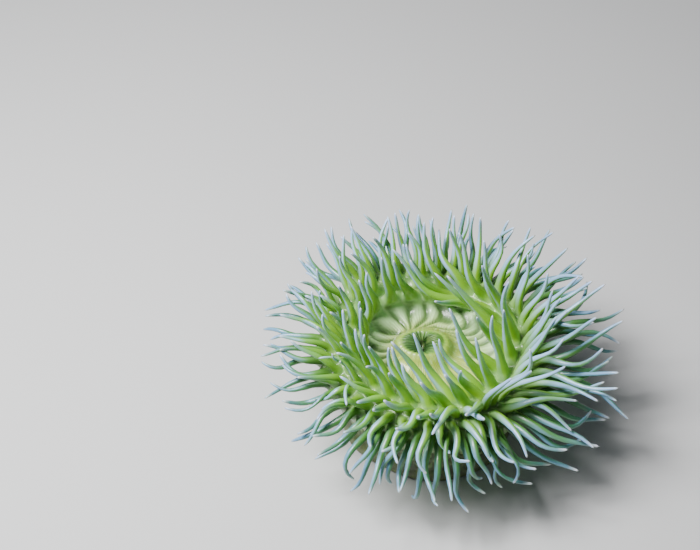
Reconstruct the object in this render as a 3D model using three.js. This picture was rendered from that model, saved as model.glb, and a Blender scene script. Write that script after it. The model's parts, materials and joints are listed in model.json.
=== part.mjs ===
// A giant green sea anemone, life size, in millimetres: a broad foot, a short column, a rolled rim that
// carries six rows of tentacles, and a flat oral disc with the mouth a little off its middle.
// +Z is up, the origin is the middle of the foot's flat sole, and azimuths are in degrees, anticlockwise
// from +X as seen from above.
import * as THREE from "three";

// ---------------------------------------------------------------- driving dimensions

const FOOT_RADIUS = 51; // the widest part of the foot, just above the sole
const WAIST_RADIUS = 44; // the column at its narrowest
const FOOT_TOP = 6.5; // where the column begins
const COLUMN_PARTING = 24; // between the column's lower and upper lengths
const RIM_RADIUS = 50.5; // axis to the middle of the rolled rim
const RIM_HEIGHT = 50; // sole to the middle of the rolled rim
const RIM_ROLL = 13; // radius of the roll that the tentacles stand on
const CREASE = 37; // height of the groove under the rim, where the column ends
const DISC_LOW = 49.5; // the lowest ring of the oral disc
const DISC_BED = 45.5; // the flat underside of the disc and the mouth
const LIP_TOP = 57; // the crest of the lips
const LIP_CREST = 9.2; // radius of that crest
const LIP_FOOT = 14.5; // where the lips run out into the disc
const MOUTH_OPENING = 6.2;
const THROAT_WALL = 8.2; // outer radius of the throat
const THROAT_FLOOR = 48;
const MOUTH_SHIFT = [-5, 4]; // the mouth's middle, from the axis
const MOUTH_SHIFT_ENDS = 34; // the disc radius at which that shift has died out
const DISC_TUCK = 8; // how far from the roll's middle the disc's edge reaches in under the first row
const SOLE_INSET = 1.5; // how much narrower than the foot the sole is
const FOOT_EDGE = 2; // height of the foot's widest ring
const FOOT_SHOULDER = 2.4; // how far the foot has drawn in where the column begins
const LOWER_BULGE = { radius: 1.3, height: 8 }; // added to the waist, this far above the foot
const UPPER_BULGE = { radius: 0.6, height: 7 }; // added to the waist, this far above the parting
const CREASE_FLARE = 2.4; // added to the waist at the crease
const COLLAR_FLARE = { radius: 5.5, height: 2.5 }; // added to the waist, this far above the crease
const RIM_UNDERSIDE = [{ roll: -62, inset: 2 }, { roll: -32, inset: 0.4 }]; // of the collar, inside the roll
const DISC_OUTER = { radius: 31, rise: 0.6 };
const DISC_INNER = { radius: 21, rise: 0 };
const LIP_STEP = 1.6; // how far the disc has risen where it meets the lips
const LIP_ROUND = { width: 2, drop: 1.6 }; // the lips' outer shoulder, from their crest
const MOUTH_ROUND = { width: 0.6, drop: 0.8 }; // the lips' inner shoulder, from the opening
const LIP_DEPTH = 3; // crest to the bottom of the lips' inner wall
const THROAT_SEAT = 0.6; // how much lower the lips' inner edge sits on the throat
const FUNNEL = { narrowing: 2.6, height: 1.5 }; // of the throat, just above its floor
const BODY_SIDES = 24;
const MOUTH_SIDES = 20;
const GAP = 0.35; // between touching pieces
const ROW_GAP = 0.9; // between rows of tentacles, whose edges have their corners in different places

// The foot's outline and the rim are wavy. A wave has a number of lobes, a height and one crest's azimuth.
const FOOT_LOBES = [
  { lobes: 4, height: 0.9, crest: 20 },
  { lobes: 7, height: 0.5, crest: 5 },
];
const RIM_SWELL = [
  { lobes: 3, height: 1.6, crest: 30 },
  { lobes: 5, height: 0.6, crest: 58 },
];
const RIM_LIFT = [
  { lobes: 1, height: 1.5, crest: 120 },
  { lobes: 3, height: 1.4, crest: 20 },
  { lobes: 4, height: 1.0, crest: 3 },
];

// The rows of tentacles from the mouth outwards. A row stands on the roll between two angles, from and to,
// measured round the roll from outwards (0) over the crest (90) to the disc (180). root is a radius, and
// taper an exponent. rise, out and sag say where the row's tentacles end up pointing, hang is how closely
// they follow SPREAD, inner is how far they lean over the disc as the innermost do, crowd how far they are
// drawn up where CROWD says so, and loose is how much they differ from each other. places says how far
// along each tentacle its square sections stand.
const LONG = [0, 0.12, 0.38, 0.68, 1];
const SHORT = [0, 0.1, 0.52, 1];
const ROWS = [
  {
    name: "inner", count: 24, shift: 0, from: 163, to: 129, length: 48, root: 4.0, taper: 1.2,
    rise: 1, out: 0, sag: 0, inner: 1, hang: 0, crowd: 0, loose: 0.8, places: LONG,
  },
  {
    name: "second", count: 24, shift: 0.5, from: 129, to: 97, length: 45, root: 3.6, taper: 1.25,
    rise: 0.95, out: 0.42, sag: 0.25, inner: 0.6, hang: 0, crowd: 0.4, loose: 1.1, places: LONG,
  },
  {
    name: "third", count: 48, shift: 0.5, from: 97, to: 72, length: 42, root: 2.7, taper: 1.2,
    rise: 0.8, out: 0.65, sag: 0.45, inner: 0.15, hang: 0.2, crowd: 1, loose: 1.5, places: SHORT,
  },
  {
    name: "fourth", count: 48, shift: 0, from: 72, to: 47, length: 42, root: 2.65, taper: 1.1,
    rise: 0.5, out: 0.9, sag: 0.8, inner: 0, hang: 0.8, crowd: 0.5, loose: 1.4, places: SHORT,
  },
  {
    name: "fifth", count: 48, shift: 0.5, from: 47, to: 22, length: 44, root: 2.6, taper: 0.95,
    rise: 0.25, out: 1, sag: 1.05, inner: 0, hang: 0.85, crowd: 0, loose: 1.1, places: SHORT,
  },
  {
    name: "outer", count: 48, shift: 0, from: 22, to: -3, length: 43, root: 2.55, taper: 0.9,
    rise: -0.05, out: 1, sag: 1.2, inner: 0, hang: 1, crowd: 0, loose: 1, places: LONG,
  },
];
const CLOSER_AT_270 = 7; // degrees by which the tentacles on both sides crowd towards azimuth 270
const ASTRAY = { degrees: 1.1, lobes: 3, phase: 40 }; // how the tentacles of a row stray round the ring
const UNEVEN = { degrees: 2.5, lobes: 4 }; // how a row's angle round the roll strays
const SECTORS = 8; // each row is divided into this many pieces
const SECTOR_GAP = 0.2; // degrees, half the gap between two pieces of a row
const ROLL_GAP = THREE.MathUtils.radToDeg(ROW_GAP / 2 / RIM_ROLL); // half the gap between two rows
const DISC_EDGE = ROWS[0].from + 2 * ROLL_GAP; // where the disc starts, as an angle round the roll
const TIP_RADIUS = 0.66;
const STEPS = 14; // lengths that a tentacle grows in

// How the crown is posed round the ring: pairs of an azimuth and the value there, with smooth steps between.
const LEAN = [
  [0, -0.28], [45, -0.25], [90, 0.2], [135, 0.12], [180, 0.1], [218, 0.12], [250, -0.15],
  [270, -0.3], [315, -0.3],
];
const DRIFT = [
  [0, 0.5], [30, 0.9], [62, 1.8], [88, 0.9], [120, 0.35], [180, 0.2], [225, 0.85],
  [270, 1.3], [315, 0.95],
];
const RISE = [[0, 1], [30, 0.9], [62, 0.5], [95, 0.95], [180, 1]];
const SPREAD = [
  [0, 1], [45, 0.9], [90, 0.72], [135, 0.95], [180, 1], [222, 0.8], [250, 0.3],
  [285, 0.22], [308, 0.7], [330, 1.05],
];
const REACH = [
  [0, 1.16], [45, 0.97], [90, 0.86], [135, 0.86], [180, 0.83], [225, 0.88], [270, 0.89],
  [315, 1.1], [340, 1.18],
];
const INNER_REACH = [
  [0, -0.2], [25, 0], [60, 0.26], [100, 0], [180, -0.14], [222, -0.2], [250, -0.06], [285, 0],
  [318, -0.18],
];
const SWING = [
  [0, 5], [45, -28], [90, 5], [135, 5], [180, -8], [225, 0], [258, -10], [285, 16],
  [315, 34], [340, 15],
];
const SAG = [[0, 0.3], [45, 0.1], [90, -0.1], [135, 0], [180, 0.35], [225, 0.75], [270, 1], [315, 0.7]];
const CROWD = [[0, 0], [215, 0], [240, 1], [290, 1], [315, 0]];
const CURRENT = new THREE.Vector3(-1, 0.12, 0); // the slow current that the inner tentacles lie over in
const LEAST_DRIFT = 0.04; // what even the outer rows feel of it
const SWINGING_ROW = 4; // the row from which SWING counts in full

// How a tentacle differs from its neighbours. SCATTER holds the whole width of each spread.
const SCATTER = { length: 0.34, swing: 60, pitch: 0.7, side: 0.3, girth: 0.12 };
const HANG_TOGETHER = 0.75; // how much of that spread the hanging tentacles lose
const ROOT_DEPTH = 1; // how far inside the rim a middle line begins
const ROOT_UPRIGHT = 0.8; // the inner tentacles start off more upright than square to the rim
const BENT_BY = 1.6; // a tentacle has turned to its end direction after 1 / BENT_BY of its length
const SWAY = { least: 0.65, more: 0.9, inner: 0.35, root: 0.15, growth: 1.1 };
const TURNS = { least: 0.9, more: 0.6 }; // of the sway, along a tentacle
const CURL = { least: 0.2, more: 0.8, inner: 0.4 }; // upwards, over the outer half
const SWIRL = 0.4; // of the drift: tentacles lie over with the current first, and their tips stand up again
const DRAWN_UP = { shorter: 0.2, thicker: 0.18, blunter: 0.35, lower: 0.4, curl: 0.7 }; // in the crowd

// How the tentacles make room for each other.
const CLEARANCE = 0.7; // between tentacles
const CLOSE = 11; // points nearer than this may come to touch
const FLOOR_CLEARANCE = 3.5;
const SETTLING_ROUNDS = 48;
const LOOK_AGAIN = 8; // rounds between two searches for close points
const YIELDING = 0.7; // exponent of how a tentacle yields, from 0 at the root to 1 at the tip
const STEP_ASIDE = 0.4; // share of the missing room that each of two moves in one round
const SMOOTHING = 0.12;
const ROOM_ROUNDS = 60;
const WATCHED = 3; // lengths this much further apart than they need may still come to touch
const SQUARE_CORNER = 1.14; // corner of a square section that stands for a round one of radius 1

// ---------------------------------------------------------------- small helpers

const UP = new THREE.Vector3(0, 0, 1);
const radians = THREE.MathUtils.degToRad;
const waves = (azimuth, list) =>
  list.reduce((sum, w) => sum + w.height * Math.cos(radians(w.lobes * (azimuth - w.crest))), 0);
const ease = (t) => t * t * (3 - 2 * t);

// A number from 0 to 1 that belongs to a tentacle and to the use that is made of it.
const USES = ["length", "swing", "pitch", "side", "phase", "height", "plane", "girth", "turns", "curl"];
const FIRST_USE = 3;
const SHUFFLE = { id: 12.9898, use: 78.233, start: 1.234, stretch: 43758.5453 };
function chance(id, use) {
  const turn = id * SHUFFLE.id + (FIRST_USE + USES.indexOf(use)) * SHUFFLE.use + SHUFFLE.start;
  const x = Math.sin(turn) * SHUFFLE.stretch;
  return x - Math.floor(x);
}
const scatter = (id, use) => SCATTER[use] * (chance(id, use) - 0.5);
const between = ({ least, more }, share) => least + more * share;

// The value of a table of [azimuth, value] pairs at an azimuth.
function roundRing(table, azimuth) {
  const first = table[0][0];
  const at = ((((azimuth - first) % 360) + 360) % 360) + first;
  const closed = [...table, [first + 360, table[0][1]]];
  const after = closed.findIndex(([start]) => start > at);
  const [a, low] = closed[after - 1];
  const [b, high] = closed[after];
  return low + (high - low) * ease((at - a) / (b - a));
}

function outward(azimuth) {
  return new THREE.Vector3(Math.cos(radians(azimuth)), Math.sin(radians(azimuth)), 0);
}

// ---------------------------------------------------------------- the rolled rim

// The rows aren't ruled with a compass: azimuth and angle round the roll both wander a little.
function wander(azimuth, roll) {
  const astray = ASTRAY.degrees * Math.sin(radians(ASTRAY.lobes * azimuth + ASTRAY.phase));
  return {
    azimuth: azimuth + astray - CLOSER_AT_270 * Math.cos(radians(azimuth)),
    roll: roll + UNEVEN.degrees * Math.sin(radians(UNEVEN.lobes * azimuth + roll)),
  };
}

// The rim's direction outwards from the middle of the roll.
function rimNormal(azimuth, roll) {
  const at = wander(azimuth, roll);
  const angle = radians(at.roll);
  return outward(at.azimuth).multiplyScalar(Math.cos(angle)).addScaledVector(UP, Math.sin(angle));
}

// A point of the rim, at a radius from the middle of the roll.
function rimPoint(azimuth, roll, radius = RIM_ROLL) {
  const at = wander(azimuth, roll);
  return outward(at.azimuth)
    .multiplyScalar(RIM_RADIUS + waves(at.azimuth, RIM_SWELL))
    .addScaledVector(UP, RIM_HEIGHT + waves(at.azimuth, RIM_LIFT))
    .addScaledVector(rimNormal(azimuth, roll), radius);
}

// ---------------------------------------------------------------- the tentacles' middle lines

// Where a tentacle of a row ends up pointing.
function endDirection(row, id, azimuth) {
  const sag = roundRing(SAG, azimuth) * row.sag + DRAWN_UP.lower * row.crowd * roundRing(CROWD, azimuth);
  const spread = 1 - row.hang * (1 - roundRing(SPREAD, azimuth));
  const loose = row.loose * (1 - HANG_TOGETHER * (1 - spread));
  const swing = roundRing(SWING, azimuth) * Math.min(1, ROWS.indexOf(row) / SWINGING_ROW);
  const end = new THREE.Vector3()
    .addScaledVector(UP, row.rise * (1 - row.inner + row.inner * roundRing(RISE, azimuth)) - sag)
    .addScaledVector(outward(azimuth), row.out * spread + row.inner * roundRing(LEAN, azimuth))
    .addScaledVector(CURRENT, row.inner * roundRing(DRIFT, azimuth) + LEAST_DRIFT)
    .normalize()
    .applyAxisAngle(UP, radians(swing + scatter(id, "swing") * loose));
  end.z += scatter(id, "pitch") * loose;
  return end.normalize();
}

// The two directions that a tentacle sways in, turned by chance about the way it ends up pointing.
function swayDirection(start, end, id) {
  const side = new THREE.Vector3().crossVectors(start, end).normalize();
  const lift = new THREE.Vector3().crossVectors(end, side);
  const turn = 2 * Math.PI * chance(id, "plane");
  return side.multiplyScalar(Math.cos(turn)).addScaledVector(lift, Math.sin(turn));
}

// One tentacle: its root on the rim, its middle line and its radii, before it has made room for the others.
function growTentacle(row, id, place) {
  const azimuth = ((place + row.shift) * 360) / row.count;
  const roll = (row.from + row.to) / 2;
  const start = rimNormal(azimuth, roll)
    .addScaledVector(UP, ROOT_UPRIGHT * row.inner)
    .addScaledVector(outward(azimuth + 90), scatter(id, "side"))
    .normalize();
  const end = endDirection(row, id, azimuth);
  const sway = swayDirection(start, end, id);
  const height = between(SWAY, chance(id, "height")) * (1 - SWAY.inner * row.inner);
  const turns = between(TURNS, chance(id, "turns"));
  const drift = row.inner * roundRing(DRIFT, azimuth);
  const crowd = row.crowd * roundRing(CROWD, azimuth);
  const curl = between(CURL, chance(id, "curl")) + CURL.inner * row.inner + DRAWN_UP.curl * crowd;
  const reach = roundRing(REACH, azimuth) + row.inner * roundRing(INNER_REACH, azimuth);
  const length = row.length * (1 + scatter(id, "length")) * reach * (1 - DRAWN_UP.shorter * crowd);
  const line = [rimPoint(azimuth, roll, RIM_ROLL - ROOT_DEPTH)];
  for (let step = 0; step < STEPS; step++) {
    const t = (step + 0.5) / STEPS;
    const bent = ease(Math.min(1, t * BENT_BY));
    const wave = Math.sin(2 * Math.PI * (turns * t + chance(id, "phase"))) * (SWAY.root + SWAY.growth * t);
    const swirl = SWIRL * drift * Math.sin(2 * Math.PI * t);
    const way = new THREE.Vector3()
      .addScaledVector(start, 1 - bent)
      .addScaledVector(end, bent)
      .addScaledVector(sway, height * wave)
      .addScaledVector(CURRENT, swirl)
      .addScaledVector(UP, curl * Math.max(0, 2 * t - 1))
      .normalize();
    line.push(line[step].clone().addScaledVector(way, length / STEPS));
  }
  const girth = (1 + scatter(id, "girth")) * (1 + DRAWN_UP.thicker * crowd) * Math.sqrt(Math.min(1, reach));
  const taper = row.taper * (1 - DRAWN_UP.blunter * crowd);
  const radii = line.map((_, k) => TIP_RADIUS + (row.root * girth - TIP_RADIUS) * (1 - k / STEPS) ** taper);
  return { row, place, azimuth, roll, length, line, radii };
}

// Pairs of points of different tentacles that are within reach of each other.
function closePairs(points, reach) {
  const pairs = [];
  points.forEach((a, i) => {
    for (let j = i + 1; j < points.length; j++) {
      const b = points[j];
      if (a.owner !== b.owner && a.at.distanceToSquared(b.at) < reach * reach) pairs.push([a, b]);
    }
  });
  return pairs;
}

// The tentacles push each other aside until none touches, keep their lengths, and stay off the floor.
function settle(tentacles) {
  const points = tentacles.flatMap((owner) =>
    owner.line.map((at, k) => ({
      owner,
      at,
      radius: owner.radii[k],
      yields: (k / STEPS) ** YIELDING,
      push: new THREE.Vector3(),
    })),
  );
  let pairs;
  for (let round = 0; round < SETTLING_ROUNDS; round++) {
    if (round % LOOK_AGAIN === 0) pairs = closePairs(points, CLOSE);
    for (const [a, b] of pairs) {
      const apart = new THREE.Vector3().subVectors(a.at, b.at);
      const distance = apart.length();
      const wanted = a.radius + b.radius + CLEARANCE - distance;
      if (wanted <= 0) continue;
      apart.multiplyScalar((STEP_ASIDE * wanted) / distance);
      a.push.add(apart);
      b.push.sub(apart);
    }
    for (const p of points) {
      p.at.addScaledVector(p.push, p.yields);
      p.push.set(0, 0, 0);
    }
    for (const { line, radii, length } of tentacles) {
      const smooth = line.map((p, k) => {
        if (k === 0 || k === STEPS) return p.clone();
        const middle = line[k - 1].clone().add(line[k + 1]).divideScalar(2);
        return p.clone().lerp(middle, SMOOTHING);
      });
      smooth.forEach((p, k) => (p.z = Math.max(p.z, FLOOR_CLEARANCE + radii[k])));
      line.forEach((p, k) => {
        if (k > 0) smooth[k].sub(smooth[k - 1]).setLength(length / STEPS).add(line[k - 1]);
        p.copy(smooth[k]);
      });
    }
  }
}

// ---------------------------------------------------------------- tentacles as square-sectioned lengths

// A tentacle's middle line in a few straight lengths, the first of them the short flare at its root.
function partLine(tentacle) {
  const places = tentacle.row.places.map((t) => t * STEPS);
  tentacle.sections = places.map((k) => {
    const before = Math.min(STEPS - 1, Math.floor(k));
    return {
      at: tentacle.line[before].clone().lerp(tentacle.line[before + 1], k - before),
      radius: THREE.MathUtils.lerp(tentacle.radii[before], tentacle.radii[before + 1], k - before),
    };
  });
  tentacle.lengths = tentacle.sections
    .slice(1)
    .map((end, k) => ({ owner: tentacle, ends: [tentacle.sections[k], end], first: k === 0 }));
}

// How two lengths lie: where they come nearest, and by how much their corners lack the room to pass there.
function crowding(a, b) {
  const near = [new THREE.Vector3(), new THREE.Vector3()];
  const lines = [a, b].map(({ ends }) => new THREE.Line3(ends[0].at, ends[1].at));
  const distance = Math.sqrt(lines[0].distanceSqToLine3(lines[1], near[0], near[1]));
  const shares = lines.map((line, i) => line.closestPointToPointParameter(near[i], true));
  const radii = [a, b].map(({ ends }, i) => THREE.MathUtils.lerp(ends[0].radius, ends[1].radius, shares[i]));
  const lack = SQUARE_CORNER * (radii[0] + radii[1]) + GAP - distance;
  return { lack, distance, shares, way: near[0].sub(near[1]).divideScalar(distance) };
}

// The straight lengths cut the corners of the bends, so they make room once more, and get thinner where
// they can't.
function partTentacles(tentacles) {
  tentacles.forEach(partLine);
  const lengths = tentacles.flatMap((t) => t.lengths);
  const neighbours = [];
  lengths.forEach((a, i) => {
    for (let j = i + 1; j < lengths.length; j++) {
      const b = lengths[j];
      if (a.owner !== b.owner && crowding(a, b).lack > -WATCHED) neighbours.push([a, b]);
    }
  });
  for (let round = 0; round < ROOM_ROUNDS; round++) {
    for (const [a, b] of neighbours) {
      const { lack, shares, way } = crowding(a, b);
      if (lack <= 0) continue;
      [a, b].forEach(({ ends, first }, i) => {
        const step = (i === 0 ? STEP_ASIDE : -STEP_ASIDE) * lack;
        if (!first) ends[0].at.addScaledVector(way, step * (1 - shares[i]));
        ends[1].at.addScaledVector(way, step * shares[i]);
      });
    }
  }
  for (const [a, b] of neighbours) {
    const { lack, distance } = crowding(a, b);
    if (lack <= 0) continue;
    const keep = (distance - GAP) / (distance - GAP + lack);
    [...a.ends, ...b.ends].forEach((end) => (end.radius *= keep));
  }
}

// ---------------------------------------------------------------- closed surfaces

// Corners and faces gathered one by one. A face's corners run anticlockwise as seen from outside.
class Surface {
  corners = [];
  triangles = [];

  corner({ x, y, z }) {
    this.corners.push(x, y, z);
    return this.corners.length / 3 - 1;
  }

  face(first, ...rest) {
    for (let k = 1; k < rest.length; k++) this.triangles.push(first, rest[k - 1], rest[k]);
  }

  geometry() {
    const geometry = new THREE.BufferGeometry();
    geometry.setAttribute("position", new THREE.Float32BufferAttribute(this.corners, 3));
    geometry.setIndex(this.triangles);
    geometry.computeVertexNormals();
    return geometry;
  }
}

// A solid turned about the upright axis. Its profile runs anticlockwise, seen with the axis on the left.
// It lists rings, which are functions of the azimuth, and the two points on the axis that close it, or
// none where it is a loop.
function turned(profile, count) {
  const surface = new Surface();
  const azimuths = Array.from({ length: count }, (_, k) => (k * 360) / count);
  const rings = profile.map((step) =>
    typeof step === "function" ? azimuths.map((a) => surface.corner(step(a))) : [surface.corner(step)],
  );
  const bands = typeof profile[0] === "function" ? [...rings.keys()] : [...rings.keys()].slice(0, -1);
  for (const k of bands) {
    const lower = rings[k];
    const upper = rings[(k + 1) % rings.length];
    azimuths.forEach((_, i) => {
      const j = (i + 1) % count;
      if (lower.length === 1) surface.face(lower[0], upper[j], upper[i]);
      else if (upper.length === 1) surface.face(lower[i], lower[j], upper[0]);
      else surface.face(lower[i], lower[j], upper[j], upper[i]);
    });
  }
  return surface.geometry();
}

const onAxis = (height) => new THREE.Vector3(0, 0, height);
const ring = (radius, height) => (azimuth) => outward(azimuth).multiplyScalar(radius).setZ(height);

// A ring of the foot, whose outline is drawn out into a few low lobes.
const footRing = (radius, height) => (azimuth) =>
  outward(azimuth).multiplyScalar(radius + waves(azimuth, FOOT_LOBES)).setZ(height);

// A ring at an angle round the roll of the rim, and one straight below the disc's edge, tucked under the
// first row.
const rimRing = (roll, radius) => (azimuth) => rimPoint(azimuth, roll, radius);
const belowEdge = (radius, height) => (azimuth) => rimPoint(azimuth, DISC_EDGE, radius).setZ(height);

// A ring of the disc or the mouth. The nearer it is to the mouth, the more it moves to the side with it.
function discRing(radius, height) {
  const share = ease(Math.max(0, 1 - radius / MOUTH_SHIFT_ENDS));
  const held = ease(Math.max(0, 1 - LIP_FOOT / MOUTH_SHIFT_ENDS));
  const shift = new THREE.Vector3(...MOUTH_SHIFT, 0).multiplyScalar(Math.min(1, share / held));
  return (azimuth) => ring(radius, height)(azimuth).add(shift);
}

// ---------------------------------------------------------------- foot, column and collar

function pedalDisc() {
  return turned(
    [
      onAxis(0),
      footRing(FOOT_RADIUS - SOLE_INSET, 0),
      footRing(FOOT_RADIUS, FOOT_EDGE),
      footRing(FOOT_RADIUS - FOOT_SHOULDER, FOOT_TOP - GAP / 2),
      onAxis(FOOT_TOP - GAP / 2),
    ],
    BODY_SIDES,
  );
}

function lowerColumn() {
  return turned(
    [
      onAxis(FOOT_TOP + GAP / 2),
      footRing(FOOT_RADIUS - FOOT_SHOULDER, FOOT_TOP + GAP / 2),
      ring(WAIST_RADIUS + LOWER_BULGE.radius, FOOT_TOP + LOWER_BULGE.height),
      ring(WAIST_RADIUS, COLUMN_PARTING - GAP / 2),
      onAxis(COLUMN_PARTING - GAP / 2),
    ],
    BODY_SIDES,
  );
}

function upperColumn() {
  return turned(
    [
      onAxis(COLUMN_PARTING + GAP / 2),
      ring(WAIST_RADIUS, COLUMN_PARTING + GAP / 2),
      ring(WAIST_RADIUS + UPPER_BULGE.radius, COLUMN_PARTING + UPPER_BULGE.height),
      ring(WAIST_RADIUS + CREASE_FLARE, CREASE - GAP / 2),
      onAxis(CREASE - GAP / 2),
    ],
    BODY_SIDES,
  );
}

// The collar carries the crown: it reaches from the crease to the rim's underside, fills the roll up to its
// middle, where the rows of tentacles meet, and is the bed that the disc and the mouth lie on.
function collar() {
  const roof = DISC_BED - GAP;
  return turned(
    [
      onAxis(CREASE + GAP / 2),
      ring(WAIST_RADIUS + CREASE_FLARE, CREASE + GAP / 2),
      ring(WAIST_RADIUS + COLLAR_FLARE.radius, CREASE + COLLAR_FLARE.height),
      ...RIM_UNDERSIDE.map(({ roll, inset }) => rimRing(roll, RIM_ROLL - inset)),
      rimRing(ROWS.at(-1).to - ROLL_GAP, RIM_ROLL),
      rimRing((ROWS.at(-1).to + ROWS[0].from) / 2, -ROW_GAP),
      rimRing(DISC_EDGE, DISC_TUCK - GAP),
      belowEdge(DISC_TUCK - GAP, roof),
      onAxis(roof),
    ],
    BODY_SIDES,
  );
}

// ---------------------------------------------------------------- oral disc and mouth

function oralDisc() {
  return turned(
    [
      discRing(LIP_FOOT + GAP / 2, DISC_BED),
      belowEdge(DISC_TUCK, DISC_BED),
      rimRing(DISC_EDGE, DISC_TUCK),
      rimRing(DISC_EDGE, RIM_ROLL),
      discRing(DISC_OUTER.radius, DISC_LOW + DISC_OUTER.rise),
      discRing(DISC_INNER.radius, DISC_LOW + DISC_INNER.rise),
      discRing(LIP_FOOT + GAP / 2, DISC_LOW + LIP_STEP),
    ],
    BODY_SIDES,
  );
}

function lips() {
  return turned(
    [
      discRing(THROAT_WALL + GAP, DISC_BED),
      discRing(LIP_FOOT - GAP / 2, DISC_BED),
      discRing(LIP_FOOT - GAP / 2, DISC_LOW + LIP_STEP),
      discRing(LIP_CREST + LIP_ROUND.width, LIP_TOP - LIP_ROUND.drop),
      discRing(LIP_CREST, LIP_TOP),
      discRing(MOUTH_OPENING + MOUTH_ROUND.width, LIP_TOP - MOUTH_ROUND.drop),
      discRing(MOUTH_OPENING, LIP_TOP - LIP_DEPTH),
      discRing(THROAT_WALL + GAP, LIP_TOP - LIP_DEPTH - THROAT_SEAT),
    ],
    MOUTH_SIDES,
  );
}

// The throat is a blind funnel below the lips.
function throat() {
  const shift = new THREE.Vector3(...MOUTH_SHIFT, 0);
  return turned(
    [
      onAxis(DISC_BED).add(shift),
      discRing(THROAT_WALL, DISC_BED),
      discRing(THROAT_WALL, LIP_TOP - LIP_DEPTH - THROAT_SEAT - GAP),
      discRing(MOUTH_OPENING, LIP_TOP - LIP_DEPTH - GAP),
      discRing(MOUTH_OPENING - FUNNEL.narrowing, THROAT_FLOOR + FUNNEL.height),
      onAxis(THROAT_FLOOR).add(shift),
    ],
    MOUTH_SIDES,
  );
}

// ---------------------------------------------------------------- the crown

// One piece of a row: a wedge of the roll with the tentacles that stand on it. Each stands on a
// four-cornered field of the rim, is flared down to the field's corners, and has a square section up to its
// blunt tip.
function crownPiece(tentacles) {
  const { row } = tentacles[0];
  const surface = new Surface();
  const step = 360 / row.count;
  const apexRadius = ROW_GAP / 2 / Math.sin(radians((row.from - row.to) / 2));
  const edges = Array.from({ length: tentacles.length + 1 }, (_, k) => {
    const inset = k === 0 ? SECTOR_GAP : k === tentacles.length ? -SECTOR_GAP : 0;
    const azimuth = (tentacles[0].place + k - 0.5 + row.shift) * step + inset;
    return {
      low: surface.corner(rimPoint(azimuth, row.to + ROLL_GAP)),
      high: surface.corner(rimPoint(azimuth, row.from - ROLL_GAP)),
      apex: surface.corner(rimPoint(azimuth, (row.from + row.to) / 2, apexRadius)),
    };
  });
  tentacles.forEach((tentacle, k) => {
    const here = edges[k];
    const next = edges[k + 1];
    let below = [here.low, next.low, next.high, here.high];
    for (const square of squares(tentacle)) {
      const above = square.map((point) => surface.corner(point));
      below.forEach((_, i) => surface.face(below[i], below[(i + 1) % 4], above[(i + 1) % 4], above[i]));
      below = above;
    }
    surface.face(...below);
    surface.face(here.apex, next.apex, next.low, here.low);
    surface.face(next.apex, here.apex, here.high, next.high);
  });
  const first = edges[0];
  const last = edges.at(-1);
  surface.face(first.apex, first.low, first.high);
  surface.face(last.apex, last.high, last.low);
  return surface.geometry();
}

// The square sections of a tentacle, without a twist, each square to the bend that it stands in.
function squares({ sections, azimuth, roll }) {
  const up = rimNormal(azimuth, roll);
  const across = outward(azimuth + 90);
  across.addScaledVector(up, -across.dot(up)).normalize();
  return sections.slice(1).map(({ at, radius }, k) => {
    const into = at.clone().sub(sections[k].at).normalize();
    const after = sections[k + 2];
    const way = after ? into.clone().add(after.at.clone().sub(at).normalize()).normalize() : into;
    across.applyQuaternion(new THREE.Quaternion().setFromUnitVectors(up, way));
    up.copy(way);
    const along = new THREE.Vector3().crossVectors(up, across);
    const half = (SQUARE_CORNER * radius) / Math.SQRT2;
    return [[-1, -1], [1, -1], [1, 1], [-1, 1]].map(([a, b]) =>
      at.clone().addScaledVector(across, a * half).addScaledVector(along, b * half),
    );
  });
}

// ---------------------------------------------------------------- the whole animal

const COLOURS = {
  foot: "#7b8a55",
  column: "#6f8048",
  collar: "#a9b98a",
  disc: "#c3cc8b",
  lips: "#b9c184",
  throat: "#2f4a2c",
  inner: "#b7cfa8",
  second: "#a9c88c",
  third: "#9cc07c",
  fourth: "#8fb982",
  fifth: "#7fb09a",
  outer: "#74a8a2",
};

const anemone = new THREE.Group();
anemone.name = "sea_anemone";

function addPiece(name, geometry, colour) {
  const material = new THREE.MeshStandardMaterial({ color: colour, roughness: 0.35, metalness: 0 });
  const mesh = new THREE.Mesh(geometry, material);
  mesh.name = name;
  anemone.add(mesh);
}

addPiece("pedal_disc", pedalDisc(), COLOURS.foot);
addPiece("column_lower", lowerColumn(), COLOURS.column);
addPiece("column_upper", upperColumn(), COLOURS.column);
addPiece("collar", collar(), COLOURS.collar);
addPiece("oral_disc", oralDisc(), COLOURS.disc);
addPiece("lips", lips(), COLOURS.lips);
addPiece("throat", throat(), COLOURS.throat);

const tentacles = [];
for (const row of ROWS) {
  for (let place = 0; place < row.count; place++) tentacles.push(growTentacle(row, tentacles.length, place));
}
settle(tentacles);
partTentacles(tentacles);

for (const row of ROWS) {
  const share = row.count / SECTORS;
  for (let sector = 0; sector < SECTORS; sector++) {
    const members = tentacles.filter((t) => t.row === row && Math.floor(t.place / share) === sector);
    addPiece(`tentacles_${row.name}_${sector + 1}`, crownPiece(members), COLOURS[row.name]);
  }
}

export default anemone;
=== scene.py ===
# %% [markdown]
# # A giant green sea anemone
#
# This lesson builds one soft animal as a single skin: foot, column, rolled rim, 240 tentacles, oral disc
# and mouth. The solid parts of the same animal come first, as a fixed frame. They say how big everything
# is, and the skin takes their place. Blender works in metres, but flesh is easier to think about in
# millimetres, so the sizes of the flesh are in millimetres, and MM turns them into metres when they reach
# the mesh.

import json
import math

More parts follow.
